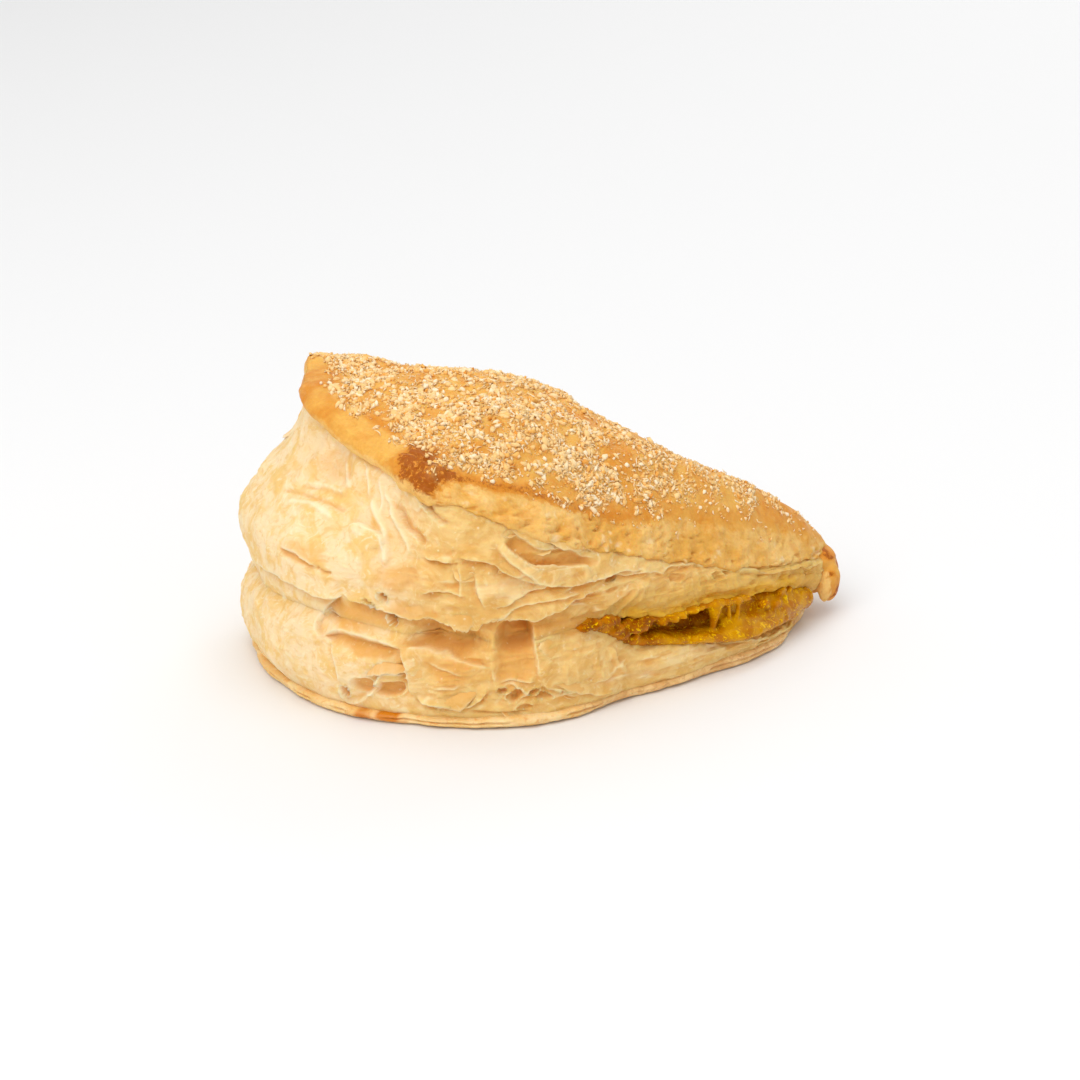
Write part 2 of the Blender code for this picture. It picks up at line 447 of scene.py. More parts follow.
class Finish:
    # one material: a Principled shader and the nodes that feed it
    def __init__(self, name, uniform):
        self.material = bpy.data.materials.new(name)
        self.material.use_nodes = True
        self.tree = self.material.node_tree
        self.shader = self.tree.nodes["Principled BSDF"]
        self.shade(uniform)

    def node(self, kind, settings, sockets, output=0):
        return addNode(self.tree, kind, settings, sockets, output)

    def painted(self, name):
        return self.node("Attribute", dict(attribute_name=name), {}, "Fac")

    def spot(self):
        return self.node("TexCoord", {}, {}, "Object")

    def noise(self, size, detail=4.0, roughness=0.55, distortion=0.0, stretch=(1, 1, 1)):
        spot = self.spot()
        if stretch != (1, 1, 1):
            spot = self.node("VectorMath", dict(operation="MULTIPLY"), {0: spot, 1: stretch})
        return self.node("TexNoise", {}, {
            "Vector": spot, "Scale": 1.0 / (size * mm), "Detail": detail,
            "Roughness": roughness, "Distortion": distortion})

    def dots(self, size):
        return self.node("TexVoronoi", {}, {"Vector": self.spot(), "Scale": 1.0 / (size * mm)})

    def mix(self, share, under, over):
        # one colour over another, each a wire or as it looks on a screen, 0 to 255
        colours = [value if isinstance(value, Wire) else linear(*value) for value in (under, over)]
        sockets = {"Factor": share, 6: colours[0], 7: colours[1]}
        return self.node("Mix", dict(data_type="RGBA"), sockets, 2)

    def laid(self, under, *layers):
        # more colours over one, each with its share
        for share, over in layers:
            under = self.mix(share, under, over)
        return under

    def shade(self, sockets):
        # feeds the shader's own sockets
        for key, value in sockets.items():
            feed(self.tree, self.shader.inputs[key], value)

    def bump(self, height, depth):
        self.shade({"Normal": self.node("Bump", {}, {"Height": height, "Distance": depth * mm})})


def attach(obj, node, finish):
    obj.data.materials.append(finish.material)
    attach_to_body(obj, "root")
    if node:
        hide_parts(node)
    return obj


# Distances over the unrolled side: run in mm along the foot, height in mm
fineTurn = np.linspace(100.0, 460.0, 3601)
fineFoot = around(fineTurn, 1)
fineRun = np.concatenate([[0.0], np.cumsum(np.hypot(
    np.diff(planX(fineTurn, fineFoot)), np.diff(planY(fineTurn, fineFoot))))])


def runAt(direction):
    return np.interp(sideAngle(direction), fineTurn, fineRun)


def smoothLine(points, spacing=1.0):
    # a list of control points made a smooth line of close points
    points = np.array(points, float)
    padded = np.concatenate([[2 * points[0] - points[1]], points, [2 * points[-1] - points[-2]]])
    made = []
    for before, start, end, after in zip(padded, padded[1:], padded[2:], padded[3:]):
        steps = max(2, int(np.linalg.norm(end[:2] - start[:2]) / spacing))
        for share in np.arange(steps) / steps:
            square, cube = share ** 2, share ** 3
            made.append(0.5 * (2 * start + (end - before) * share
                               + (2 * before - 5 * start + 4 * end - after) * square
                               + (3 * start - before - 3 * end + after) * cube))
    made.append(points[-1])
    return np.array(made)


def sideLine(points):
    # control points given as direction and height
    points = np.array(points, float)
    return smoothLine(np.stack([runAt(points[:, 0]), points[:, 1]], -1))


def lineDistance(run, height, line):
    # distance to a line, above 0 on its left as it is travelled, place along it, and its length
    spot = np.stack([run, height], -1)
    nearest = np.full(run.shape, 1e9)
    signed = np.zeros(run.shape)
    along = np.zeros(run.shape)
    away = np.zeros(spot.shape)
    walked = 0.0
    for start, end in zip(line, line[1:]):
        step = end - start
        length = max(np.hypot(*step), 1e-6)
        share = np.clip(((spot - start) @ step) / length ** 2, 0.0, 1.0)
        offset = spot - (start + share[..., None] * step)
        distance = np.hypot(offset[..., 0], offset[..., 1])
        side = np.sign(step[0] * offset[..., 1] - step[1] * offset[..., 0])
        closer = distance < nearest
        nearest = np.where(closer, distance, nearest)
        signed = np.where(closer, distance * side, signed)
        along = np.where(closer, walked + share * length, along)
        away = np.where(closer[..., None], offset, away)
        walked += length
    return signed, along, walked, away


def softened(values):
    # one light pass, so that no edge is a comb of single points
    padded = np.pad(values, ((1, 1), (0, 0)), mode="edge")
    values = 0.25 * padded[:-2] + 0.5 * values + 0.25 * padded[2:]
    return 0.25 * np.roll(values, 1, 1) + 0.5 * values + 0.25 * np.roll(values, -1, 1)


def fading(along, length, taper):
    # 1 along a line and 0 at its two ends
    taper = min(taper, 0.45 * length)
    return ramp(0.0, taper, along) * ramp(0.0, taper, length - along)


class Side:
    # a cut side of the pastry being shaped: what moves out, in or across, and how it is coloured
    def __init__(self, grid, turn, weight, height=None):
        self.grid = grid
        self.turn = np.broadcast_to(turn, grid.shape[:2])
        self.run = np.broadcast_to(runAt(turn), grid.shape[:2])
        self.height = grid[..., 2].copy() if height is None else height
        self.weight = weight
        self.normal = gridNormals(grid)
        self.push = np.zeros(grid.shape[:2])
        self.inward = np.zeros(grid.shape[:2])
        self.slide = np.zeros(grid.shape[:2] + (2,))
        # tones painted on the side: pale edges and crests, partly painted highlight; a honey
        # colour, mostly painted shade in hollows and under edges; painted shade where hollows run
        # deep; the soaked jam stain; and a warmer, darker colour on the cut side, partly painted
        # shade
        self.tones = {name: np.zeros(grid.shape[:2]) for name in ("paleAndHighlight", "honeyAndShade", "deep", "jam")}
        self.tones["warmAndShaded"] = 1.0 - smoothness(self.turn)
        self.flat = np.stack([self.run, self.height, self.run * 0.0], -1)

    def tear(self, points, lift=0.9, reach=4.0, dig=1.6, digReach=2.2, over=0.9, ragged=0.15,
             taper=3.0, honeyAndShade=0.5, seed=1):
        # a torn edge: the sheet on the line's left stands proud, and what is behind it sinks
        # a pale line along the edge is partly a painted highlight, and painted shade darkens what
        # sinks behind it
        line = sideLine(points)
        columns = (self.run[0] > line[:, 0].min() - digReach - reach) & (
            self.run[0] < line[:, 0].max() + digReach + reach)
        run, height = self.run[:, columns], self.height[:, columns]
        signed, along, length, away = lineDistance(run, height, line)
        flat = self.flat[:, columns]
        signed = signed + ragged * (
            fractal(flat, 3.0, 2, seed + 50) * 1.2 + 0.6 * softNoise(flat, 7.0, seed + 70))
        ends = fading(along, length, taper) * self.weight[:, columns]
        above = ramp(-0.18, 0.18, signed)
        liftShare = (1.0 - ramp(0.0, reach, signed)) ** 1.3 * above * ends
        digShare = (1.0 - ramp(0.0, digReach, -signed)) * (1.0 - above) * ends
        angle = sideAngle(self.turn[:, columns])
        calm = 0.85 - 0.35 * ramp(238.0, 256.0, angle) - 0.1 * ramp(290.0, 312.0, angle)
        self.push[:, columns] += calm * (lift * liftShare - dig * digShare)
        unit = away / np.maximum(np.hypot(away[..., 0], away[..., 1])[..., None], 1e-6)
        pull = -over * np.exp(-np.abs(signed) / 1.1) * above * ends
        self.slide[:, columns] += unit * (pull * ramp(0.0, 0.5, np.abs(signed)))[..., None]
        self.tones["paleAndHighlight"][:, columns] += 0.8 * np.exp(-np.abs(signed - 0.3) / 0.45) * ends
        self.tones["honeyAndShade"][:, columns] += honeyAndShade * digShare
        self.tones["deep"][:, columns] += digShare * ramp(1.5, 5.0, dig)

    def pocket(self, direction, height, across, tall, depth, seed, tilt=0, power=2.6,
               soft=0.35, honeyAndShade=0.8, ragged=0.12, rim=0.0):
        # a hollow with a steep wall
        # its inside is darkened with painted shade, and a raised rim is paled, partly as a painted
        # highlight
        centre = float(runAt(direction))
        columns = np.abs(self.run[0] - centre) < across * 1.8 + 3.0
        angle = math.radians(tilt)
        right = self.run[:, columns] - centre
        up = self.height[:, columns] - height
        u = (right * math.cos(angle) + up * math.sin(angle)) / across
        v = (up * math.cos(angle) - right * math.sin(angle)) / tall
        size = (np.abs(u) ** power + np.abs(v) ** power + 1e-9) ** (1.0 / power)
        size = size + ragged * fractal(self.flat[:, columns], 2.4, 3, seed + 90)
        share = (1.0 - ramp(1.0 - soft, 1.0, size)) * self.weight[:, columns]
        self.inward[:, columns] += depth * share
        edge = np.exp(-((size - 1.04) / 0.09) ** 2) * self.weight[:, columns]
        self.push[:, columns] += rim * edge
        self.tones["honeyAndShade"][:, columns] += honeyAndShade * share
        self.tones["deep"][:, columns] += share * ramp(2.5, 7.0, depth)
        self.tones["paleAndHighlight"][:, columns] += min(1.0, 1.3 * rim) * edge

    def ridge(self, points, lift=0.6, width=0.6, taper=2.0, paleAndHighlight=0.8):
        # a thin stretched fold
        # a raised crest is paled, partly as a painted highlight, and a sunken one is darkened with
        # painted shade
        line = sideLine(points)
        columns = (self.run[0] > line[:, 0].min() - 4 * width) & (
            self.run[0] < line[:, 0].max() + 4 * width)
        signed, along, length, _ = lineDistance(
            self.run[:, columns], self.height[:, columns], line)
        ends = fading(along, length, taper) * self.weight[:, columns]
        crest = np.exp(-(signed / width) ** 2) * ends
        self.push[:, columns] += lift * crest
        self.tones["paleAndHighlight" if lift > 0 else "honeyAndShade"][:, columns] += paleAndHighlight * crest

    def bubble(self, direction, height, size, lift):
        away = np.hypot(self.run - float(runAt(direction)), self.height - height)
        self.push += lift * (1.0 - ramp(0.0, size, away)) * self.weight

    def tint(self, tone, direction, height, across, tall, amount):
        away = np.hypot((self.run - float(runAt(direction))) / across,
                        (self.height - height) / tall)
        away = away + 0.35 * fractal(self.flat, 4.0, 3, int(direction))
        self.tones[tone] += amount * (1.0 - ramp(0.4, 1.1, away))

    def shaped(self):
        slide = np.stack([softened(softened(self.slide[..., axis])) for axis in (0, 1)], -1)
        turn = np.radians(self.turn)
        radial = np.stack([np.cos(turn), np.sin(turn), 0.0 * turn], -1)
        tangent = np.stack([-np.sin(turn), np.cos(turn), 0.0 * turn], -1)
        up = np.array((0.0, 0.0, 1.0))
        return (self.grid + self.normal * self.push[..., None] - radial * self.inward[..., None]
                + tangent * slide[..., :1] + up * slide[..., 1:])


def cutShare(direction):
    return 1.0 - foldShare(direction)


def smoothness(direction):
    # the left side puffed up in smooth membranes, the right was cut to crumb
    return 1.0 - ramp(224.0, 250.0, sideAngle(direction))


def flakiness(direction):
    # torn sheets at the front and the left back, soft crumb on the right
    angle = sideAngle(direction)
    front = ramp(226.0, 244.0, angle) * (1.0 - 0.75 * ramp(272.0, 292.0, angle))
    return np.maximum(front, 0.5 * (1.0 - ramp(158.0, 180.0, angle)))


def flakes(side, size, tall, seed, lift):
    # overlapping torn sheets, each with its own height and slope
    flat = side.flat.copy()
    bend = fractal(flat, 9.0, 2, seed) * 2.4
    flat[..., 1] += bend
    flat[..., 0] += 1.6 * fractal(flat, 5.0, 2, seed + 3)
    flat[..., 0] /= size
    flat[..., 1] /= tall
    first, second, mark = cells(flat, 1.0, seed)
    gap = ramp(0.0, 0.12, second - first)
    slope = np.sin(mark * 57.0) * (flat[..., 1] * 0.9 - np.floor(flat[..., 1] * 0.9) - 0.5)
    side.push += lift * ((mark - 0.45) * 1.1 + 0.35 * slope) * side.weight
    side.push -= 0.35 * lift * (1.0 - gap) * side.weight
    # painted shade on the sheets that sink, and pale lines along the cell edges, partly painted
    # highlight
    side.tones["honeyAndShade"] += 0.35 * lift * ramp(0.55, 0.0, mark)
    side.tones["paleAndHighlight"] += 0.35 * (1.0 - ramp(0.0, 0.08, second - first)) * np.minimum(lift, 1.0)


# Torn edges. A sheet lies on the left of each line, which goes by direction and height.
tears = (
    # the upper lobe's rim over the lower one, and the ragged hem that goes on from it
    dict(points=((186, 26.5), (191, 27), (202, 28), (208, 28), (212, 27), (220, 27)), reach=5.0,
         dig=2.6, digReach=4.5, ragged=0.35, honeyAndShade=0.7),
    dict(points=((220, 27), (226, 26.5), (233, 25), (238, 24), (243, 25.5), (250, 23.5),
         (256, 22.5), (259, 24.5), (266, 25), (274, 24), (280, 25.5), (289, 27.5), (300, 28)),
         lift=1.5, digReach=4.0, over=1.3, ragged=0.8, taper=4.0, seed=4),
    # membranes drawn out under the near corner
    dict(points=((229, 37.5), (229, 39.5), (226, 41.5), (219, 42.5), (217, 40)), lift=1.1,
         reach=6.0, dig=0.8, digReach=2.5, over=0.3, ragged=0.1, honeyAndShade=0.3),
    dict(points=((242, 40), (239, 41.5), (234, 43.5), (228, 47.5)), lift=1.1, over=0.7),
    dict(points=((250, 45), (245, 46.5), (238, 49.5), (233, 51.5)), lift=0.8, reach=3.0,
         digReach=2.4, over=0.7),
    # the leaf and the hollow over it
    dict(points=((297, 34), (291, 34.5), (287, 35), (280, 35.5), (274, 36.5), (268, 39.5),
         (264, 42.5)), lift=1.6, reach=5.0, dig=3.2, digReach=3.6, over=0.8, ragged=0.2, honeyAndShade=0.9,
         seed=7),
    dict(points=((263, 43), (266, 45), (270, 42.5), (273, 41), (277, 39.5), (284, 39), (291, 37),
         (299, 34.5)), lift=0.7, reach=3.0, dig=1.2, digReach=3.0, ragged=0.35, seed=8),
    dict(points=((262, 42), (264, 39.5), (268, 37), (272, 35), (277, 32.5), (284, 31)), lift=1.3,
         reach=3.0, digReach=2.6, over=0.7, seed=9),
    # folded sheets left of the leaf
    dict(points=((251, 39), (256, 38.5), (262, 37.5), (264, 36), (270, 34), (278, 31.5)), lift=1.5,
         dig=2.8, digReach=4.0, over=1.1, honeyAndShade=0.6, seed=10),
    dict(points=((240, 38.5), (243, 38), (246, 38), (251, 37)), lift=1.1, dig=1.4, digReach=3.0,
         over=0.8, seed=11),
    dict(points=((251, 38), (252, 34), (252, 29.5)), reach=3.5, dig=1.0, digReach=2.4, over=0.5,
         seed=12),
    dict(points=((256, 36), (257, 31.5), (259, 28), (260, 27)), lift=1.4, reach=7.0, dig=1.5,
         digReach=2.6, over=0.7, ragged=0.2, seed=13),
    # the long edge that runs up to the right over the crumb
    dict(points=((261, 27), (266, 28.5), (274, 31), (289, 31), (306, 30.5), (321, 29.5)), lift=1.0,
         dig=1.2, digReach=2.6, over=0.8, ragged=0.5, seed=14),
    dict(points=((262, 25), (270, 27.5), (279, 28.5), (292, 29)), lift=0.7, reach=2.4, dig=0.8,
         digReach=2.0, over=0.5, ragged=0.5, seed=15),
    dict(points=((240, 30), (244, 31.5), (248, 31.5), (255, 30)), reach=2.6, dig=1.2, digReach=2.6,
         over=0.7, ragged=0.5, seed=16),
    # the lower lobe: a petal, the sheet beside it and the flaps under the hollows
    dict(points=((218, 17), (215, 20), (215, 23), (221, 28)), reach=8.0, dig=1.1, digReach=5.0,
         over=0.7, ragged=0.35, honeyAndShade=0.2, seed=17),
    dict(points=((217, 17.5), (219, 19.5), (225, 19.5), (231, 18.5), (237, 17)), lift=1.0,
         reach=6.0, dig=2.4, digReach=4.6, over=0.8, ragged=0.3, honeyAndShade=0.7, seed=18),
    dict(points=((219, 18), (221, 12), (221, 7.5)), lift=0.7, reach=5.0, dig=1.0, digReach=2.0,
         over=0.5, ragged=0.5, seed=19),
    dict(points=((238, 12), (232, 12), (230, 9.5), (227, 5.5), (222, 3.5), (221, 7.5)), reach=1.8,
         dig=0.9, digReach=3.0, over=0.3, ragged=0.2, taper=1.5, seed=20),
    dict(points=((235, 18), (237, 15.5), (238, 13), (239, 6.5)), lift=1.4, reach=6.0, dig=1.8,
         digReach=3.2, ragged=0.4, seed=21),
    dict(points=((239, 6.5), (244, 6), (251, 5), (256, 6), (261, 9.5)), lift=2.3, reach=2.4,
         over=1.2, ragged=0.2, seed=22),
    dict(points=((262, 14), (252, 16), (244, 17.5), (236, 18)), lift=0.8, reach=5.0, digReach=3.6,
         over=0.5, ragged=0.25, seed=23),
    dict(points=((274, 24), (274, 19.5), (275, 15.5), (276, 10)), lift=1.5, reach=7.0, digReach=2.6,
         ragged=0.2, seed=24),
    dict(points=((276, 10.5), (279, 8.5), (282, 8), (290, 5.5), (297, 4.5), (306, 3)), lift=1.3,
         dig=1.1, ragged=0.7, seed=25),
    dict(points=((262, 10.5), (266, 11), (271, 10.5), (276, 10)), lift=0.7, reach=2.0, dig=1.2,
         over=0.5, ragged=0.3, seed=26),
    dict(points=((261, 14.5), (262, 10)), lift=0.7, reach=2.0, dig=0.3, digReach=1.2, over=0.2,
         ragged=0.2, seed=27),
    # the cut band on the right: a roof of pale sheets over the soaked crumb
    dict(points=((283, 29.5), (294, 31), (305, 30), (313, 29), (321, 28.5), (330, 26.5)), lift=0.8,
         reach=2.4, dig=1.1, digReach=2.0, over=0.6, ragged=0.4, seed=28),
    dict(points=((327, 27), (333, 27.5), (340, 26.5), (346, 25), (350, 24)), lift=0.8, reach=2.0,
         dig=1.1, over=0.6, ragged=0.3, seed=29),
    dict(points=((354, 22), (357, 21), (363, 18), (366, 17), (372, 15), (376, 14)), lift=1.0,
         reach=2.6, dig=1.2, digReach=2.0, ragged=0.6, seed=30),
    dict(points=((340, 8), (346, 7), (352, 5.5), (358, 4.5)), lift=0.5, reach=1.6, dig=0.7,
         digReach=1.4, over=0.4, ragged=0.4, seed=31),
    # smooth left lobe: creases and a notch
    dict(points=((196, 45.5), (203, 46.5), (212, 46.5)), lift=0.5, reach=3.0, dig=0.5, digReach=1.6,
         over=0.3, ragged=0.1, honeyAndShade=0.35, seed=32),
    dict(points=((204, 35), (209, 35), (212, 34), (216, 33)), lift=0.5, dig=1.3, digReach=1.8,
         over=0.5, ragged=0.25, honeyAndShade=0.8, seed=33),
)
pockets = (
    dict(direction=248, height=20, across=10.6, tall=4.0, depth=4.4, tilt=-7, soft=0.6, honeyAndShade=0.6,
         seed=4),
    dict(direction=268, height=20.5, across=5.0, tall=3.9, depth=4.8, power=3.0, soft=0.4,
         honeyAndShade=1.3, ragged=0.1, seed=5),
    dict(direction=268, height=15, across=5.2, tall=5.4, depth=1.5, power=3.0, soft=0.5, honeyAndShade=1.0,
         seed=6),
    dict(direction=230, height=28.5, across=1.3, tall=0.8, depth=2.2, tilt=-30, rim=0.6, seed=7),
    dict(direction=232, height=23, across=1.6, tall=0.8, depth=2.4, tilt=-38, rim=0.7, seed=8),
    dict(direction=227, height=27, across=2.0, tall=0.5, depth=1.8, tilt=-30, rim=0.4, seed=9),
    dict(direction=222, height=6, across=1.1, tall=1.6, depth=1.6, rim=0.7, seed=11),
    dict(direction=227, height=8.5, across=2.6, tall=2.1, depth=1.6, rim=0.3, seed=12),
    dict(direction=233, height=8, across=4.0, tall=1.9, depth=2.4, tilt=12, rim=0.3, seed=13),
    dict(direction=264, height=9, across=1.2, tall=0.9, depth=1.2, power=2.0, honeyAndShade=0.4, ragged=0.4,
         rim=0.4, seed=14),
    dict(direction=268, height=7.5, across=2.6, tall=1.5, depth=1.5, power=2.0, honeyAndShade=0.4,
         ragged=0.45, rim=0.5, seed=15),
    dict(direction=274, height=8, across=1.6, tall=1.0, depth=1.2, power=2.0, honeyAndShade=0.4, ragged=0.4,
         rim=0.4, seed=16),
    dict(direction=278, height=6.5, across=2.4, tall=0.8, depth=1.2, tilt=-10, power=2.0, honeyAndShade=0.4,
         ragged=0.45, rim=0.4, seed=17),
    dict(direction=284, height=7, across=1.2, tall=0.6, depth=0.9, power=2.0, honeyAndShade=0.4, ragged=0.4,
         rim=0.3, seed=18),
    dict(direction=271, height=4.5, across=2.2, tall=0.7, depth=1.2, rim=0.4, seed=19),
    dict(direction=305, height=29.5, across=2.0, tall=0.6, depth=1.8, tilt=8, rim=0.3, seed=20),
    dict(direction=352, height=22, across=1.5, tall=0.45, depth=1.6, tilt=-12, seed=21),
    dict(direction=360, height=22.5, across=2.4, tall=0.5, depth=1.4, tilt=-8, seed=22),
    dict(direction=334, height=25, across=2.6, tall=0.9, depth=0.8, tilt=-8, power=2.0, honeyAndShade=0.2,
         ragged=0.4, rim=0.2, seed=23),
    dict(direction=349, height=22, across=2.4, tall=1.0, depth=0.8, tilt=-14, power=2.0, honeyAndShade=0.2,
         ragged=0.4, rim=0.3, seed=24),
    dict(direction=358, height=3.5, across=2.6, tall=0.4, depth=1.0, honeyAndShade=0.6, seed=26),
)
ridges = (
    dict(points=((220, 47.5), (227, 42.5), (229, 39.5), (231, 35)), lift=1.2, width=0.9),
    dict(points=((224, 50), (229, 46), (233, 42.5)), lift=0.9),
    dict(points=((227, 47), (232, 43), (236, 40), (237, 37.5)), lift=1.0),
    dict(points=((221, 52), (224, 48), (225, 44.5)), width=0.5),
    dict(points=((215, 54), (218, 50), (220, 47))),
    dict(points=((205, 53), (208, 50), (213, 47.5)), lift=0.5),
    dict(points=((192, 43.5), (200, 44.5), (208, 44.5), (215, 44)), lift=-0.7, width=0.45,
         paleAndHighlight=0.5),
    dict(points=((197, 42.5), (205, 43.5), (213, 42.5)), lift=0.35, width=0.5),
    dict(points=((215, 33.5), (217, 32.5), (219, 32.5)), lift=-0.8, width=0.4, taper=0.6),
    dict(points=((320, 26.5), (312, 24), (307, 20.5)), lift=0.9, width=0.7, paleAndHighlight=0.4),
    dict(points=((316, 26.5), (305, 24.5), (295, 23)), lift=0.7, width=0.7, paleAndHighlight=0.4),
    dict(points=((322, 27), (317, 24), (313, 21)), paleAndHighlight=0.3),
    dict(points=((254, 4), (264, 3.5), (274, 3.5)), lift=-1.3, width=0.35, paleAndHighlight=1.0),
    dict(points=((188, 22), (194, 19.5), (200, 19)), lift=0.4, width=0.7, paleAndHighlight=0.2),
    dict(points=((186, 18.5), (192, 16.5), (197, 16)), lift=0.4, width=0.7, paleAndHighlight=0.2),
    dict(points=((284, 14), (285, 10), (286, 8)), lift=0.4, paleAndHighlight=0.3),
    dict(points=((296, 14.5), (297, 11), (300, 7.5)), lift=0.5, paleAndHighlight=0.3),
    dict(points=((303, 15), (305, 11), (311, 7)), lift=0.7, paleAndHighlight=0.4),
)
bubbles = (
    # direction, height, size, lift
    (223.6, 38.0, 8.0, 1.2), (206.0, 39.0, 11.0, 1.0), (243.0, 34.2, 5.0, 1.4),
    (262.5, 31.4, 4.0, 0.9), (247.0, 9.2, 4.0, 0.8), (224.5, 13.0, 6.0, 0.7),
    (199.0, 12.0, 9.0, 0.8), (288.0, 13.0, 7.0, 0.6), (212.0, 50.0, 5.0, 0.8),
    (196.0, 49.0, 6.0, 0.9), (233.5, 31.5, 4.0, 0.9), (268.0, 45.6, 4.0, 0.8),
    (277.0, 43.2, 5.0, 0.9), (290.0, 40.0, 5.0, 0.8), (303.0, 36.0, 5.0, 0.7),
)


smallTears = (
    # low and high are their heights in the lower and in the upper layers
    dict(count=12, between=(144, 174), low=(4, 18), high=(24, 50), lift=0.7, size=1.0, seed=101),
    dict(count=10, between=(283, 372), low=(3, 12), high=(22, 44), lift=0.4, size=0.7, seed=103),
    dict(count=6, between=(236, 284), low=(4, 15), high=(25, 50), lift=0.42, size=0.7, seed=105),
)
tints = (
    # tone, direction, height, across, tall, amount
    # the deep tints are painted shade in hollows and in the slit by the mouth; the honey tint under
    # the left lobe's rim is painted shade too, and the other honey tints lay a honey colour on
    # patches; the white tints are paler patches
    ("honeyAndShade", 204.0, 51.0, 13.0, 4.5, 0.4),
    ("paleAndHighlight", 342.0, 8.0, 14.0, 3.4, 0.5),
    ("paleAndHighlight", 320.0, 6.0, 10.0, 2.6, 0.4),
    ("honeyAndShade", 212.0, 35.5, 9.0, 3.0, 0.5),
    ("honeyAndShade", 226.0, 22.0, 8.0, 3.6, 0.6),
    ("honeyAndShade", 300.0, 25.0, 12.0, 4.0, 0.35),
    ("honeyAndShade", 235.0, 33.0, 8.0, 4.0, 0.55),
    ("deep", 284.0, 21.8, 11.0, 3.4, 0.8),
    ("honeyAndShade", 240.0, 26.0, 9.0, 2.4, 0.6),
    ("deep", 296.0, 20.5, 8.0, 2.4, 0.6),
    ("deep", 292.0, 20.5, 8.0, 0.9, 1.3),
    ("deep", 372.0, 12.0, 3.6, 4.0, 1.2),
    ("honeyAndShade", 222.0, 23.5, 7.0, 3.0, 0.6),
    ("honeyAndShade", 336.0, 26.0, 12.0, 3.0, 0.4),
    ("paleAndHighlight", 266.0, 32.0, 8.0, 3.4, 0.6),
    ("honeyAndShade", 248.0, 15.0, 7.0, 1.6, 0.5),
    ("deep", 240.0, 19.0, 6.0, 1.2, 0.5),
    ("honeyAndShade", 228.0, 17.0, 5.0, 2.4, 0.8),
    ("honeyAndShade", 250.0, 13.0, 6.0, 4.0, 0.6),
)


def scatterTears(side, upper, count, between, low, high, lift, size, seed):
    # small torn edges where the cut sides have none of their own
    seed = seed if upper else seed + 1
    rng = np.random.default_rng(seed)
    for index in range(count):
        direction = rng.uniform(*between)
        height = rng.uniform(*(high if upper else low))
        length = rng.uniform(5.0, 14.0) * size
        turnRate = radian / max(float(around(direction, 1)), 30.0)
        steps = np.linspace(-0.5, 0.5, 4)
        rise = rng.uniform(-0.35, 0.35)
        points = [(direction + step * length * turnRate,
                   height + rise * step * length + rng.uniform(-0.7, 0.7)) for step in steps]
        if rng.random() < 0.4:
            points.reverse()
        side.tear(points, lift=rng.uniform(0.4, 1.1) * lift, dig=rng.uniform(0.4, 1.9) * lift,
                  reach=rng.uniform(2.0, 5.0), digReach=rng.uniform(1.5, 3.5), over=0.6 * lift,
                  ragged=0.45, seed=seed + index)


def shapeSide(side, upper):
    smooth = smoothness(side.turn)
    weight = side.weight
    flat = side.flat
    side.push += 0.7 * fractal(side.grid, 15.0, 2, 21) * weight
    puffs = creased(shifted(side.grid, 1.5, 6.0, 5), 8.0, 22)
    side.push += (0.35 + 0.2 * smooth) * (puffs - 0.6) * weight
    flaky = flakiness(side.turn)
    flakes(side, 9.0, 2.6, 31, 0.1 + 0.14 * flaky)
    flakes(side, 5.0, 1.2, 32, 0.04 + 0.08 * flaky)
    for tear in tears:
        side.tear(**tear)
    for pocket in pockets:
        side.pocket(**pocket)
    for ridge in ridges:
        side.ridge(**ridge)
    for bubble in bubbles:
        side.bubble(*bubble)
    for group in smallTears:
        scatterTears(side, upper, **group)
    for tint in tints:
        side.tint(*tint)
    # fine crumb and drawn layers
    layered = flat * (0.35, 3.2, 1.0) + 0.8 * softNoise(flat, 4.0, 43)[..., None]
    crumb = fractal(side.grid, 1.6, 3, 41)
    lines = 1.0 - 2.0 * np.abs(softNoise(layered, 3.0, 42))
    wrinkle = creased(shifted(side.grid, 0.8, 3.0, 45), 2.2, 44)
    side.push += (0.12 * smooth + 0.1) * (wrinkle ** 3 - 0.4) * weight
    side.push += (0.08 + 0.14 * (1.0 - smooth)) * crumb * weight
    side.push += (0.04 + 0.16 * (1.0 - smooth)) * lines * weight
    lumps = fractal(side.grid, 4.6, 3, 46)
    side.push += 0.55 * (1.0 - smooth) * (1.0 - flaky) * lumps * weight
    holes = ramp(0.45, 0.8, softNoise(flat * (0.35, 1.5, 1.0), 1.7, 47)) * (1.0 - smooth)
    side.push -= 0.25 * holes * weight
    # painted shade in the holes
    side.tones["honeyAndShade"] += 0.4 * holes


# Thin torn sheets that stand free of the sides
def sideTable():
    # the outline's radius for each degree and half millimetre of height
    turn = np.arange(360.0)
    heights = np.arange(0.0, 66.0, 0.5)
    rows = []
    for profile, first, last in ((lowerProfile, 2, 6), (upperProfile, 3, 8)):
        knots, steps, _ = profile(turn)
        made = sideSpline(knots, steps)
        rows.append(made[sum(steps[:first]):sum(steps[:last]) + 1])
    rows = np.concatenate(rows)
    table = np.empty((360, len(heights)))
    for column in range(360):
        order = np.argsort(rows[:, 1, column], kind="stable")
        table[column] = np.interp(heights, rows[order, 1, column], rows[order, 0, column])
    return table


def sidePoint(table, direction, height, out):
    # a place out mm off the side's smooth form
    turn = np.mod(direction, 360.0)
    low = np.floor(turn).astype(int)
    level = np.clip(height * 2.0, 0.0, table.shape[1] - 1.001)
    floor = np.floor(level).astype(int)
    u, v = turn - low, level - floor
    low, after = low % 360, (low + 1) % 360
    radius = ((1 - u) * (1 - v) * table[low, floor] + u * (1 - v) * table[after, floor]
              + (1 - u) * v * table[low, floor + 1] + u * v * table[after, floor + 1])
    return place(turn, radius + out, height)


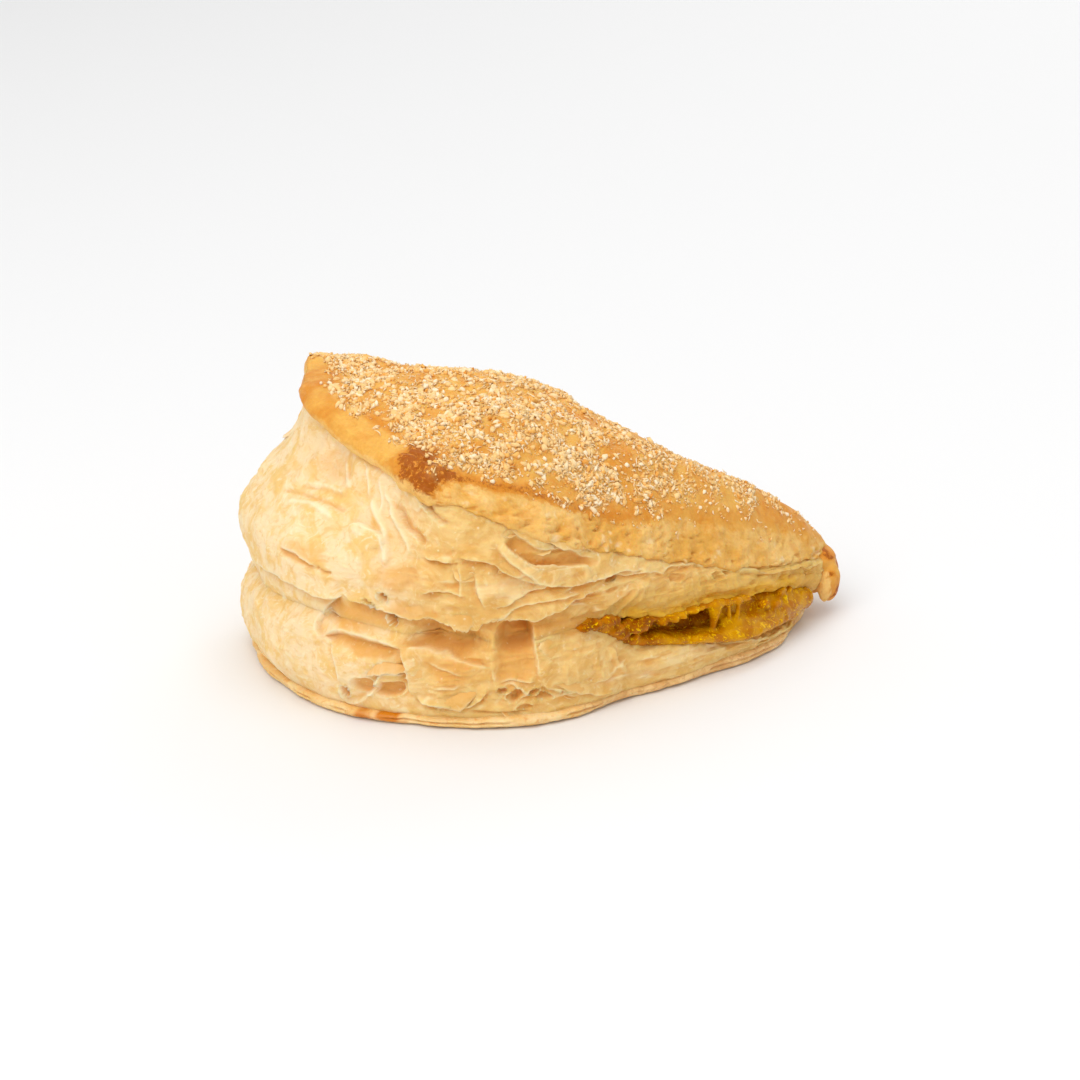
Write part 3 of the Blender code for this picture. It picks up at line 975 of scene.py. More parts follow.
# attached edge, then free edge: direction, height and mm out from the side
flaps = (
    # the leaf and the folded sheets beside it
    (((266, 35.6, -0.4), (275, 32.4, 0.2), (286, 31.4, 0.3), (297, 32.0, -0.4)),
     ((263.8, 41.4, 1.2), (271, 38.3, 2.6), (281, 36.0, 2.8), (295, 34.6, 1.0)), 0.4),
    (((258, 41.0, -0.4), (265, 38.2, 0.6), (272, 36.0, -0.3)),
     ((262, 36.6, 1.8), (267, 34.6, 2.3), (273, 32.8, 1.4)), 0.5),
    # roof over the hollow
    (((264, 46.6, -0.4), (274, 43.6, 0.3), (286, 41.2, 0.2), (300, 36.6, -0.4)),
     ((265, 43.8, 1.0), (274, 40.4, 1.7), (285, 38.6, 1.6), (299, 34.6, 0.9)), 0.3),
    # hem over the hollows
    (((234, 27.6, -0.4), (240, 27.6, 0.4), (246, 28.2, -0.4)),
     ((234, 23.9, 1.6), (240, 22.9, 2.2), (247, 23.6, 1.8)), 0.4),
    (((244, 28.0, -0.4), (250, 27.6, 0.4), (256, 27.0, -0.4)),
     ((245, 24.0, 1.7), (251, 21.9, 2.3), (257, 21.0, 1.6)), 0.4),
    (((257, 28.0, -0.4), (264, 28.2, 0.4), (271, 28.4, -0.4)),
     ((258, 24.0, 1.7), (264, 23.6, 2.3), (271, 23.6, 1.8)), 0.4),
    (((270, 28.2, -0.4), (278, 28.8, 0.4), (287, 29.6, -0.4)),
     ((271, 24.6, 1.5), (278, 24.4, 2.0), (287, 26.6, 1.4)), 0.4),
    # the lower lobe's petal, the honey sheet and the flaps by the foot
    (((244, 16.0, -0.4), (244, 11.6, 0.4), (244, 7.6, -0.4)),
     ((236, 17.2, 1.6), (237.6, 12.2, 2.3), (239.2, 7.0, 1.6)), 0.5),
    (((241, 9.4, -0.4), (250, 8.6, 0.4), (259, 11.0, -0.4)),
     ((240, 5.4, 2.2), (250, 4.2, 3.4), (261, 8.0, 2.4)), 0.6),
    (((284, 23.2, -0.5), (284, 16.0, 0.4), (283, 9.6, -0.5)),
     ((274.0, 23.6, 1.2), (274.6, 16.6, 2.0), (275.6, 10.2, 1.4)), 0.4),
    (((277, 12.0, -0.4), (286, 9.6, 0.4), (296, 7.6, -0.4)),
     ((277, 8.9, 1.4), (286, 6.4, 2.0), (297, 4.6, 1.3)), 0.4),
    (((226, 11.6, -0.3), (231, 14.2, 0.3), (238, 13.6, -0.3)),
     ((227.6, 8.2, 1.2), (232, 11.6, 1.8), (238, 11.2, 1.2)), 0.4),
    # pale sheets over the crumb on the right, and a strand across the mouth
    (((284, 31.8, -0.4), (294, 33.6, 0.3), (306, 32.6, -0.4)),
     ((284, 29.2, 0.9), (294, 30.6, 1.5), (305, 29.4, 1.0)), 0.3),
    (((302.4, 21.5, -0.2), (303.0, 17.4, 0.6), (302.6, 13.6, 0.2)),
     ((303.6, 21.5, -0.2), (303.9, 17.4, 0.8), (304.4, 13.2, 0.4)), 0.1),
)
smallFlaps = dict(
    count=64,
    seam=8,                     # more of them along the top crust's lower edge
    length=(2.5, 9.0),           # mm along the attached edge
    width=(0.8, 2.2),
    lift=(0.3, 0.8),
    seed=77,
)


def quads(*corners):
    return np.stack([corner.ravel() for corner in corners], -1)


def flapShell(table, attached, free, bulge, seed, ragged=0.9, square=0.45):
    # a closed thin shell between an attached edge and a torn free edge
    columns, rows = 34, 10
    lines = []
    for points in (attached, free):
        line = smoothLine(points, 0.25)
        walked = np.concatenate([[0.0], np.cumsum(np.hypot(
            np.diff(line[:, 0]) * 0.8, np.diff(line[:, 1])))])
        at = np.linspace(0.0, walked[-1], columns)
        lines.append(np.stack([np.interp(at, walked, line[:, i]) for i in range(3)], -1))
    share = np.linspace(0.0, 1.0, rows)[:, None]
    across = np.linspace(0.0, 1.0, columns)[None]
    lines[1][:, 2] *= 0.45
    lines[0][:, 2] -= 1.0
    start = sidePoint(table, *lines[0].T)
    end = sidePoint(table, *lines[1].T)
    spot = np.stack([across * 9.0, across * 0.0, across * 0.0 + seed * 3.1], -1)
    torn = 1.0 + ragged * (0.6 * fractal(spot, 2.6, 4, seed, 0.6) - 0.15)
    ends = np.sin(math.pi * np.clip(0.03 + 0.94 * across, 0.0, 1.0)) ** square
    reach = share * blend(1.0, torn, share) * ends
    core = start[None] + (end - start)[None] * reach[..., None]
    angle = np.radians(lines[0][:, 0])
    outward = np.stack([np.cos(angle), np.sin(angle), angle * 0.0], -1)[None]
    puff = 0.7 * bulge * np.sin(math.pi * share) + 0.25 * share * fractal(core, 2.6, 3, seed + 7)
    core = core + outward * puff[..., None]
    normal = np.cross(np.gradient(core, axis=1), np.gradient(core, axis=0))
    normal /= np.maximum(np.linalg.norm(normal, axis=-1, keepdims=True), 1e-9)
    if (normal * outward).sum() < 0:
        normal = -normal
    thick = blend(0.16, 0.05, share)[..., None]
    top, bottom = core + normal * thick, core - normal * thick
    points = np.concatenate([top.reshape(-1, 3), bottom.reshape(-1, 3)])
    index = np.arange(rows * columns).reshape(rows, columns)
    under = index + rows * columns
    faces = np.concatenate([
        quads(index[:-1, :-1], index[:-1, 1:], index[1:, 1:], index[1:, :-1]),
        quads(under[:-1, :-1], under[1:, :-1], under[1:, 1:], under[:-1, 1:]),
        quads(index[0, :-1], under[0, :-1], under[0, 1:], index[0, 1:]),
        quads(index[-1, :-1], index[-1, 1:], under[-1, 1:], under[-1, :-1]),
        quads(index[:-1, 0], index[1:, 0], under[1:, 0], under[:-1, 0]),
        quads(index[:-1, -1], under[:-1, -1], under[1:, -1], index[1:, -1]),
    ])
    corners = points[faces] - points[0]
    volume = np.einsum("ij,ij->i", corners[:, 0], np.cross(corners[:, 1], corners[:, 2])).sum()
    volume += np.einsum("ij,ij->i", corners[:, 0], np.cross(corners[:, 2], corners[:, 3])).sum()
    if volume < 0:
        faces = faces[:, ::-1]
    edge = np.concatenate([(share ** 5 * np.ones((1, columns))).ravel()] * 2)
    return points, faces, edge


def smallFlap(table, rng, index, seam):
    # a torn scrap at a random place, or none where the side is smooth or has large sheets
    direction = rng.uniform(262.0, 374.0) if seam else rng.uniform(148.0, 374.0)
    crease = oneAround(direction, 3)
    top = float(rimHeight(np.array([direction]))[0]) - 3.0
    half = halfGap(direction) + 1.0
    if rng.random() < 0.45:
        height = rng.uniform(3.5, max(crease - half, 4.0))
    else:
        height = rng.uniform(crease + half, max(top, crease + half + 1.0))
    bare = 234.0 < direction < 276.0 and 12.0 < height < 26.0
    if not seam and (bare or rng.random() > float(flakiness(direction))):
        return None
    if seam:
        height = top + rng.uniform(-1.6, 1.2)
    degree = radian / oneAround(direction, 1)
    length = rng.uniform(*smallFlaps["length"])
    width = rng.uniform(*smallFlaps["width"])
    lift = rng.uniform(*smallFlaps["lift"])
    slope = rng.uniform(-0.4, 0.4)
    down = -1.0 if rng.random() < 0.65 else 1.0
    attached, free = [], []
    for step in (-0.5, -0.15, 0.2, 0.5):
        spot = (direction + step * length * degree, height + slope * step * length)
        narrow = 1.0 - 2.2 * step ** 2
        attached.append((*spot, -0.5))
        free.append((spot[0] + rng.uniform(-0.3, 0.3) * degree,
                     spot[1] + down * width * narrow, lift * narrow))
    return flapShell(table, attached, free, rng.uniform(0.1, 0.5), 200 + index,
                     ragged=0.7, square=0.9)


def makeTornSheets():
    table = sideTable()
    rng = np.random.default_rng(smallFlaps["seed"])
    shells = [flapShell(table, attached, free, bulge, 11 + index)
              for index, (attached, free, bulge) in enumerate(flaps)]
    for index in range(smallFlaps["count"] + smallFlaps["seam"]):
        shell = smallFlap(table, rng, index, seam=index >= smallFlaps["count"])
        if shell:
            shells.append(shell)
    firsts = np.cumsum([0] + [len(points) for points, _, _ in shells])
    places = np.concatenate([points for points, _, _ in shells])
    faces = np.concatenate([faces + first for (_, faces, _), first in zip(shells, firsts)])
    edges = np.concatenate([edge for _, _, edge in shells])
    obj = makeMesh("tornSheets", places, faces)
    low = 1.0 - ramp(27.0, 31.0, places[:, 2])
    # free edges are paled, partly as a painted highlight; the rest takes a honey colour, more of it
    # below about 30 mm as painted shade by the hem; and the cut side's warmer, darker colour,
    # partly painted shade
    paint(obj, "paleAndHighlight", edges * 0.7)
    paint(obj, "honeyAndShade", (1.0 - edges) * (0.3 + 0.2 * softNoise(places, 5.0, 88) + 0.35 * low))
    paint(obj, "warmAndShaded", 1.0 - smoothness(directionOf(places)))
    for tone in ("deep", "jam"):
        paint(obj, tone, edges * 0.0)
    return obj


def footRadius(turn):
    # the foot is drawn in under the curled tip
    angle = sideAngle(turn)
    return around(turn, 1) - 0.6 + 1.3 * hill(363.0, 6.0, angle) - 6.0 * hill(381.0, 6.5, angle)


# Bottom crust
def makeBaseCrust():
    columns = 700
    turn = columnDirections(columns, 0.5)
    base = footRadius(turn)
    cut = cutShare(turn)
    thick = form["crustThickness"]
    knots = [
        (base - 8.0, 0.0), (base - 3.0, 0.05), (base - 1.0, 0.3), (base, 0.45 * thick),
        (base + 0.1, 0.78 * thick), (base - 0.5, thick), (base - 2.5, thick + 0.25),
        (base - 7.0, thick + 0.3),
    ]
    rows = sideSpline(knots, [2, 4, 6, 6, 6, 6, 4])
    radius, height = rows[:, 0], rows[:, 1]
    grid = place(turn, radius, height)
    edge = ramp(7.0, 0.5, base - radius)
    flat = np.stack(np.broadcast_arrays(runAt(turn), height, 0.0), -1)
    wobble = 0.8 * fractal(flat * (1, 0, 0), 13.0, 3, 11)
    wobble = wobble + 0.35 * fractal(flat * (1, 2, 1), 2.6, 3, 12)
    wobble = wobble - 0.5 * ramp(284.0, 300.0, sideAngle(turn)) * cut
    wobble = wobble - 0.9 * hill(0.62 * thick, 0.22, height) * ramp(
        0.05, 0.5, softNoise(flat * (1, 0, 0), 6.0, 14)) * cut
    raised = 0.45 * fractal(flat * (1, 0, 0), 5.0, 3, 13) * ramp(0.4, thick, height)
    grid = place(turn, radius + wobble * edge - 0.3, height + raised * edge)
    grid[..., 2] = np.maximum(grid[..., 2], 0.0)
    obj = ringMesh("bottomCrust", grid, (*middle, 0.0), (*middle, thick + 0.3))
    stain = hill(226.4, 2.4, turn) + hill(233.0, 3.4, turn) + 0.6 * hill(237.5, 1.6, turn)
    stain = np.minimum(stain, 1.0) * ramp(0.2, 0.8, height) * (0.7 + 0.6 * softNoise(flat, 2.5, 15))
    right = ramp(284.0, 300.0, sideAngle(turn)) * ramp(0.3, 0.8, height) * cut
    paintRings(obj, "stain", stain, grid)
    paintRings(obj, "toast", ramp(0.9, 0.0, height) * 0.7 + 0.4 * foldShare(turn), grid)
    paintRings(obj, "pale", right, grid)
    return obj


def rowWeight(outside, steps):
    # how far each row counts as outside, from a number for each control row
    return sideSpline([(np.zeros(1), np.full(1, value)) for value in outside], steps)[:, 1]


def finishSide(name, side, lowest, highest):
    grid = side.shaped()
    grid[..., 2] = np.maximum(grid[..., 2], 0.6)
    obj = ringMesh(name, grid, (*middle, lowest), (*middle, highest))
    for tone, values in side.tones.items():
        paintRings(obj, tone, np.clip(values, 0.0, 1.5), grid)
    return obj


def soaked(side, crease, upper):
    # jam has soaked the crumb beside the mouth, more of it over the mouth than under it
    near, more, strength = (4.5, 6.0, 1.0) if upper else (3.0, 0.0, 0.55)
    away = np.abs(side.height - crease) - 0.5 * gapHeight(side.turn)
    reach = near + more * ramp(300.0, 318.0, mouthAngle(side.turn))
    soak = ramp(reach, 0.0, away + 0.9 * fractal(side.flat, 3.0, 3, 55)) * mouthShare(side.turn)
    side.tones["jam"] += strength * soak
    return soak


def lowerProfile(turn):
    # control rows from under the bottom crust's lip to the hollow's floor
    base, plate, crease = footRadius(turn), around(turn, 2), around(turn, 3)
    fold, left, mouth = foldShare(turn), leftShare(turn), mouthShare(turn)
    cut = 1.0 - fold
    lip = form["crustThickness"] - 0.3
    half = 0.5 * gapHeight(turn) * mouth
    top = crease - half + 0.6 * (1.0 - mouth)
    rise = top - lip
    lobe = base + (1.6 * left - 0.8 * (1.0 - left)) * cut
    waist = base + (plate + (base - plate) * (0.35 + 0.65 * left) + 0.6 * left - base) * 0.5
    waist = waist - (1.8 + 1.2 * left) * cut
    tuck = 3.2 * fold
    knots = [
        (base - 9.0, lip), (base - 3.0 - tuck, lip), (base - 1.7 - tuck, lip + 0.4),
        (lobe - 0.6 - tuck, lip + 0.25 * rise), (lobe - tuck, lip + 0.5 * rise),
        (lobe - 0.6 - tuck, lip + 0.78 * rise), (waist - tuck, top - 0.3),
        (waist - 1.6 - tuck, top + 0.1), (waist - 5.0 - tuck, top + 0.2),
        (waist * 0.6, blend(top, form["pocketHeight"] - half, 0.5)),
    ]
    return knots, [1, 4, 14, 18, 20, 18, 8, 8, 6], [0, 0, 0.5, 1, 1, 1, 1, 0.8, 0.25, 0]


def upperProfile(turn):
    # control rows from the hollow's roof to under the top crust
    base, plate, crease = (around(turn, column) for column in (1, 2, 3))
    fold, left, mouth = foldShare(turn), leftShare(turn), mouthShare(turn)
    cut = 1.0 - fold
    front = ramp(240.0, 252.0, sideAngle(turn))
    half = 0.5 * gapHeight(turn) * mouth
    puff = plate + (base - plate) * (0.35 + 0.65 * left) + 0.6 * left
    waist = base + (puff - base) * 0.5 - (1.8 + 1.2 * left) * cut
    neck = plate - (1.5 - 1.3 * front) * cut - 0.3 - 2.6 * hill(199.0, 12.0, turn)
    tuck = 3.2 * fold
    low = crease + half - 0.6 * (1.0 - mouth)
    tall = rimHeight(turn) - form["plateThickness"] * (1.0 - 0.42 * front * cut) - low
    neck = neck + 0.5 * front * cut
    knots = [
        (waist * 0.6, blend(low, form["pocketHeight"] + 3.0, 0.5)),
        (waist - 5.0 - tuck, low), (waist - 1.6 - tuck, low), (waist - tuck, low + 0.3),
        (puff - 0.9 - tuck, low + 0.16 * tall), (puff - tuck, low + 0.36 * tall),
        (puff - 0.5 - 4.2 * left - tuck, low + 0.55 * tall),
        (neck + (puff - neck) * (0.35 - 0.14 * left) - tuck, low + 0.76 * tall),
        (neck - tuck - 0.75 * front * cut, low + 0.97 * tall),
        (neck - 3.0 - tuck, low + 1.02 * tall),
        (neck * 0.6, low + 1.05 * tall),
    ]
    return knots, [5, 7, 7, 13, 18, 19, 19, 13, 3, 1], [0, 0.25, 0.8, 1, 1, 1, 1, 1, 0.9, 0, 0]


def makeLayers(name, profile, columns, upper):
    turn = columnDirections(columns, 0.22)
    knots, steps, outside = profile(turn)
    rows = sideSpline(knots, steps)
    weight = rowWeight(outside, steps)[:, 0]
    side = Side(place(turn, rows[:, 0], rows[:, 1]), turn, weight[:, None] * cutShare(turn))
    crease, mouth = around(turn, 3), mouthShare(turn)
    lip = crease + (0.5 if upper else -0.5) * gapHeight(turn)
    soak = soaked(side, crease, upper)
    shapeSide(side, upper)
    # crumb torn at the mouth's lip
    side.push += 0.6 * fractal(side.flat, 1.8, 3, 61 + upper) * soak * side.weight
    torn = fractal(side.flat * (1, 0, 0), 3.2, 3, 62 + upper)
    side.slide[..., 1] += (0.5 + 0.4 * upper) * torn * hill(lip, 2.0, side.height) * mouth
    pocket = form["pocketHeight"]
    if upper:
        return finishSide(name, side, pocket + 2.0, form["plateHeight"])
    return finishSide(name, side, form["crustThickness"], pocket - 2.0)


goldenEdge = (                   # direction, and share of the top crust where the browning ends
    (240, 1.04), (247, 0.985), (254, 0.955), (263, 0.935), (274, 0.915), (286, 0.92),
    (296, 0.935), (305, 0.95), (320, 0.955), (334, 0.95), (348, 0.94), (357, 0.94), (364, 0.95),
    (371, 0.97), (380, 1.02),
)


# Top crust, which wraps round the fold down to the base
def crustRows(turn):
    # rows from under the rim, or from the base where the dough is folded, over it to the top
    plate, rim, fold = around(turn, 2), rimHeight(turn), foldShare(turn)
    front = frontShare(turn)
    thick = form["plateThickness"]
    cutRows = [
        (plate - 6.0, rim - thick), (plate - 1.6 - 0.6 * front, rim - 0.98 * thick),
        (plate - 0.3 - 0.9 * front, rim - 0.75 * thick), (plate - 0.2 * front, rim - 0.45 * thick),
        (plate - 1.0, rim - 0.08 * thick),
    ]
    foldHeights = [1.4, 1.2, 0.35 * rim, 0.75 * rim, rim - 0.08 * thick]
    turnedIn = [6.0, 0.6, 0.0, 0.0, 0.0]
    knots = []
    for (radius, height), foldHeight, inset in zip(cutRows, foldHeights, turnedIn):
        foldPlace = foldRadius(turn, foldHeight) - inset
        knots.append((blend(radius, foldPlace, fold), blend(height, foldHeight, fold)))
    rows = sideSpline(knots, [3, 12, 12, 12])
    lower = place(turn, rows[:, 0], rows[:, 1])
    shares = 1.0 - np.linspace(0.0, 1.0, 109)[:-1] ** 1.2
    dome = np.array([domePoint(turn, share) for share in shares])
    joint = [[blend(lower[-1], dome[0], step / 6.0)] for step in range(1, 6)]
    lower = np.concatenate([lower] + joint)
    share = np.concatenate([np.full(len(lower), 1.0), shares])[:, None] * np.ones(len(turn))
    level = np.concatenate([np.linspace(0.0, 1.0, len(lower)), np.full(len(dome), 1.0)])[:, None]
    return np.concatenate([lower, dome]), share, level, len(lower) - 1


def frontShare(turn):
    # 1 along the cut sides from the near corner on
    return ramp(240.0, 252.0, sideAngle(turn)) * (1.0 - foldShare(turn))


def crustRise(grid, share, front):
    # soft bumps, pits and fine grain, calmer along the rim
    rise = 0.8 * fractal(grid, 13.0, 3, 71) + 0.3 * fractal(grid, 3.6, 3, 72)
    rise = rise + 0.35 * (creased(shifted(grid, 1.2, 5.0, 73), 5.5, 74) - 0.6)
    fine = 0.1 * fractal(grid, 1.1, 2, 75)
    rimBand = ramp(0.9, 0.99, share) * (1.0 - front)
    rise = rise * (1.0 - 0.1 * rimBand) + fine * (1.0 - 0.4 * rimBand)
    return rise + 0.35 * rimBand * fractal(grid * (1.0, 1.0, 0.4), 8.0, 2, 78)


def shapeCutBand(band):
    # crumb, drawn layers and holes on the pale band between the browning and the rim
    grid = band.grid
    drawn = grid * (0.55, 0.55, 1.5) + 0.9 * softNoise(grid, 3.0, 84)[..., None]
    crumbs = 0.5 * fractal(drawn, 2.6, 3, 82) + 0.3 * fractal(grid, 1.3, 2, 83)
    folds = 1.0 - 2.0 * np.abs(softNoise(drawn, 2.0, 85))
    holes = ramp(0.35, 0.7, softNoise(drawn, 1.2, 86))
    spotty = fractal(grid, 1.8, 3, 87)
    band.push += (crumbs + 0.25 * folds - 0.5 * holes) * band.weight
    band.tones["paleAndHighlight"] += 0.6 * ramp(0.1, 0.6, spotty)
    # honey spots at random, and painted shade in the holes
    band.tones["honeyAndShade"] += 0.7 * ramp(0.05, 0.5, -spotty) + 0.4 * holes
    for bubble in bubbles:
        band.bubble(*bubble)


def cornerLump(grid):
    # the blistered, burnt lump at the near corner
    away = np.hypot(grid[..., 0] - planX(237.5, 38.5), grid[..., 1] - planY(237.5, 38.5))
    return 1.0 - ramp(2.5, 10.0, away + 2.6 * fractal(grid, 3.4, 3, 80))


def browning(grid, turn, share, pastEdge, lump):
    # where the crust is darker: the lump, the browned line, under the coconut, the left corner
    angle = sideAngle(turn)
    line = np.exp(-((pastEdge + 0.035) / 0.045) ** 2) * frontShare(turn)
    line = line * (1.0 - 0.6 * ramp(290.0, 340.0, angle))
    leftRim = ramp(160.0, 178.0, angle) * (1.0 - ramp(236.0, 244.0, angle))
    underCoconut = 0.75 * leftRim * np.exp(-((share - 0.88) / 0.035) ** 2)
    corner = 0.7 * hill(184.0, 12.0, angle) * ramp(0.8, 0.97, share)
    corner = corner * ramp(-0.3, 0.5, fractal(grid, 4.0, 2, 79))
    return 1.3 * lump + 0.9 * line + underCoconut + corner


def makeTopCrust():
    turn = columnDirections(560, 0.6)
    fold, front = foldShare(turn), frontShare(turn)
    grid, share, level, rimRow = crustRows(turn)
    bandEdge = np.interp(sideAngle(turn), *np.array(goldenEdge).T)
    blotch = 0.022 * fractal(grid, 6.0, 3, 76)
    band = ramp(bandEdge - 0.05, bandEdge + 0.06, share + blotch) * front
    pale = np.maximum(band, front * (1.0 - ramp(0.93, 1.0, level)))
    # heights go on rising past the rim, so that what marks the sides runs over it
    overTop = grid[rimRow, :, 2] + (1.0 - share) * around(turn, 2) * 1.05
    overTop[:rimRow] = grid[:rimRow, :, 2]
    cutBand = Side(grid, turn, pale * np.maximum(ramp(0.0, 0.12, level), 0.3), overTop)
    shapeCutBand(cutBand)
    lump = cornerLump(grid)
    rise = crustRise(grid, share, front) - 0.3 * band
    rise = rise - 1.6 * hill(150.0, 26.0, turn) * ramp(0.35, 0.75, share)
    rise = rise + lump * (0.6 + 1.1 * fractal(grid, 2.4, 3, 81))
    lump = lump * (0.95 + 0.45 * fractal(grid, 1.5, 3, 89))
    cutBand.push += rise * ramp(0.0, 0.12, level)
    grid = cutBand.shaped()
    grid[..., 2] = np.maximum(grid[..., 2], 0.5)
    high = domePoint(np.array([0.0]), 0.0)[0]
    obj = ringMesh("topCrust", grid, (*middle, form["plateHeight"] + 2.0), high)
    under = 1.0 - ramp(0.25, 0.8, level + 0.2 * fractal(grid, 5.0, 3, 88))
    under = under * (1.0 - fold) * (1.0 - front)
    paintRings(obj, "pale", np.maximum(pale, under), grid)
    brown = browning(grid, turn, share, share + blotch - bandEdge, lump)
    paintRings(obj, "brown", np.clip(brown, 0.0, 1.5), grid)
    for tone, values in cutBand.tones.items():
        paintRings(obj, tone, np.clip(values, 0.0, 1.5) * pale, grid)
    strewn = coconutSpread(grid.reshape(-1, 3)).reshape(grid.shape[:2])
    paintRings(obj, "strewn", np.clip(strewn, 0.0, 1.0), grid)
    return obj


print("making the pastry")


# Finishes
def makeCrustFinish():
    finish = Finish("goldenCrust", {
        "Subsurface Weight": 0.25, "Subsurface Radius": (1.0, 0.45, 0.18),
        "Subsurface Scale": 2.2 * mm, "Coat IOR": 1.45, "Coat Roughness": 0.28,
        "Specular IOR Level": 0.22, "Specular Tint": (1.0, 0.7, 0.3)})
    big = finish.noise(11.0, 4.0, 0.6, 0.6)
    small = finish.noise(2.2, 5.0, 0.6, 0.8)
    fine = finish.noise(0.7, 3.0, 0.6)
    speck = finish.noise(0.9, 5.0, 0.7, 0.4)
    mottle = finish.noise(1.7, 5.0, 0.65, 0.6)
    brown, strewn, pale, honeyAndShade, paleAndHighlight = (
        finish.painted(name) for name in ("brown", "strewn", "pale", "honeyAndShade", "paleAndHighlight"))
    burnt = brown + (speck - 0.5) * 2.2 * brown.between(0.5, 0.9)
    golden = finish.laid(
        finish.mix(big.between(0.36, 0.64), (222, 146, 50), (235, 178, 84)),
        (small.between(0.55, 0.78) * 0.45, (212, 120, 26)),
        (small.between(0.5, 0.28) * 0.4, (248, 202, 104)),
        (brown.between(0.1, 0.75) * 0.75, (216, 132, 30)),
        (burnt.between(0.7, 1.2), (166, 84, 8)),
        ((1.0 - speck).between(0.56, 0.64) * brown.between(0.8, 1.1), (226, 146, 50)),
        (strewn * 0.6, (244, 196, 112)),
        (speck.between(0.46, 0.58) * strewn * 0.85, (252, 222, 160)),
        (speck.between(0.46, 0.36) * strewn * 0.4, (238, 172, 74)))
    cream = finish.laid(
        finish.mix(big.between(0.4, 0.65), (233, 176, 84), (244, 200, 122)),
        (small.between(0.54, 0.7) * 0.5, (228, 156, 58)),
        # on the pale band: the honey colour, painted shade in its holes, and paler spots
        (honeyAndShade.between(0.1, 1.0) * 0.7, (228, 164, 80)),
        (paleAndHighlight.between(0.15, 0.9) * 0.7, (253, 232, 190)))
    edge = pale + (mottle - 0.5) * 1.6 * pale.between(0.0, 0.4) * (1.0 - pale.between(0.7, 1.0))
    shade = finish.laid(golden, (edge.between(0.2, 0.7), cream),
                        (fine.between(0.35, 0.7) * 0.16, (196, 120, 50)))
    finish.shade({"Base Color": shade, "Roughness": 0.42 + small * 0.14 + pale * 0.14,
                  "Coat Weight": 0.14 - pale * 0.14})
    grain = finish.noise(0.28, 2.0)
    finish.bump(small * 0.5 + fine * 0.3 + speck * strewn * 0.6 + grain * 0.2, 0.55)
    return finish


def makeLayerFinish(name, scatter):
    finish = Finish(name, {
        "Subsurface Weight": scatter, "Subsurface Radius": (1.0, 0.62, 0.32),
        "Subsurface Scale": 3.0 * mm, "Specular IOR Level": 0.35,
        "Specular Tint": (1.0, 0.85, 0.6)})
    paleAndHighlight, honeyAndShade, deep, jam, warmAndShaded = (
        finish.painted(name) for name in ("paleAndHighlight", "honeyAndShade", "deep", "jam", "warmAndShaded"))
    big = finish.noise(9.0, 5.0, 0.55, 1.6)
    patch = finish.noise(4.2, 5.0, 0.6, 2.4)
    fibre = finish.noise(1.3, 4.0, 0.6, 0.6, (0.35, 0.35, 1.4))
    fine = finish.noise(0.5, 3.0, 0.6)
    dots = finish.dots(1.9).between(0.22, 0.08) * patch.between(0.46, 0.6)
    # each of these is cooler on the smooth left side and warmer on the cut right side
    # the cut side's warmer, darker colours are partly painted shade, on the side away from the key
    # light
    bright = finish.mix(warmAndShaded, (250, 221, 174), (243, 204, 132))
    tan = finish.mix(warmAndShaded, (242, 200, 124), (229, 178, 96))
    light = finish.mix(warmAndShaded, (254, 236, 200), (248, 218, 160))
    torn = finish.mix(warmAndShaded, (254, 238, 204), (251, 226, 174))
    cream = finish.laid(
        finish.mix(big.between(0.38, 0.66), bright, tan),
        (patch.between(0.52, 0.68) * 0.55, light),
        (patch.between(0.46, 0.32) * 0.5, (234, 184, 108)),
        (fibre.between(0.5, 0.75) * 0.25, (230, 176, 100)),
        # painted shade: honey in hollows and under torn edges, a deeper brown where hollows run
        # deep
        (honeyAndShade.between(0.05, 0.9) * 0.8, (231, 170, 86)),
        (deep.between(0.2, 1.1) * 0.75, (214, 146, 58)),
        (dots * 0.6, (254, 232, 186)),
        # pale torn edges and crests, partly painted highlight
        (paleAndHighlight.between(0.15, 0.9) * 0.7, torn),
        (jam.between(0.05, 0.6) * 0.75, (218, 170, 78)),
        (jam.between(0.75, 1.0) * 0.7, (236, 174, 16)))
    finish.shade({"Base Color": cream, "Roughness": 0.5 + fine * 0.16})
    grain = finish.noise(0.22, 2.0)
    finish.bump(fibre * 0.4 + fine * 0.35 + dots * 0.2 + grain * 0.2, 0.42)
    return finish


def makeBaseFinish():
    finish = Finish("bakedBase", {
        "Subsurface Weight": 0.25, "Subsurface Radius": (1.0, 0.5, 0.22),
        "Subsurface Scale": 2.0 * mm, "Specular IOR Level": 0.4})
    big = finish.noise(7.0, 4.0, 0.6, 0.8)
    small = finish.noise(1.6, 4.0, 0.6, 0.5)
    stain, toast, pale = (finish.painted(name) for name in ("stain", "toast", "pale"))
    cream = finish.laid(
        finish.mix(big.between(0.4, 0.62), (246, 206, 142), (228, 178, 110)),
        (small.between(0.5, 0.62) * 0.5, (206, 148, 80)))
    shade = finish.laid(
        finish.mix(big.between(0.38, 0.64), (248, 214, 154), (240, 192, 116)),
        (small.between(0.55, 0.7) * 0.5, (222, 144, 52)),
        (toast * 0.6, (226, 158, 80)),
        (pale.between(0.2, 0.8), cream),
        (stain.between(0.15, 0.8), (212, 128, 18)))
    finish.shade({"Base Color": shade, "Roughness": 0.5 - stain * 0.25})
    finish.bump(small * 0.6 + finish.noise(0.4, 3.0) * 0.4, 0.4)
    return finish


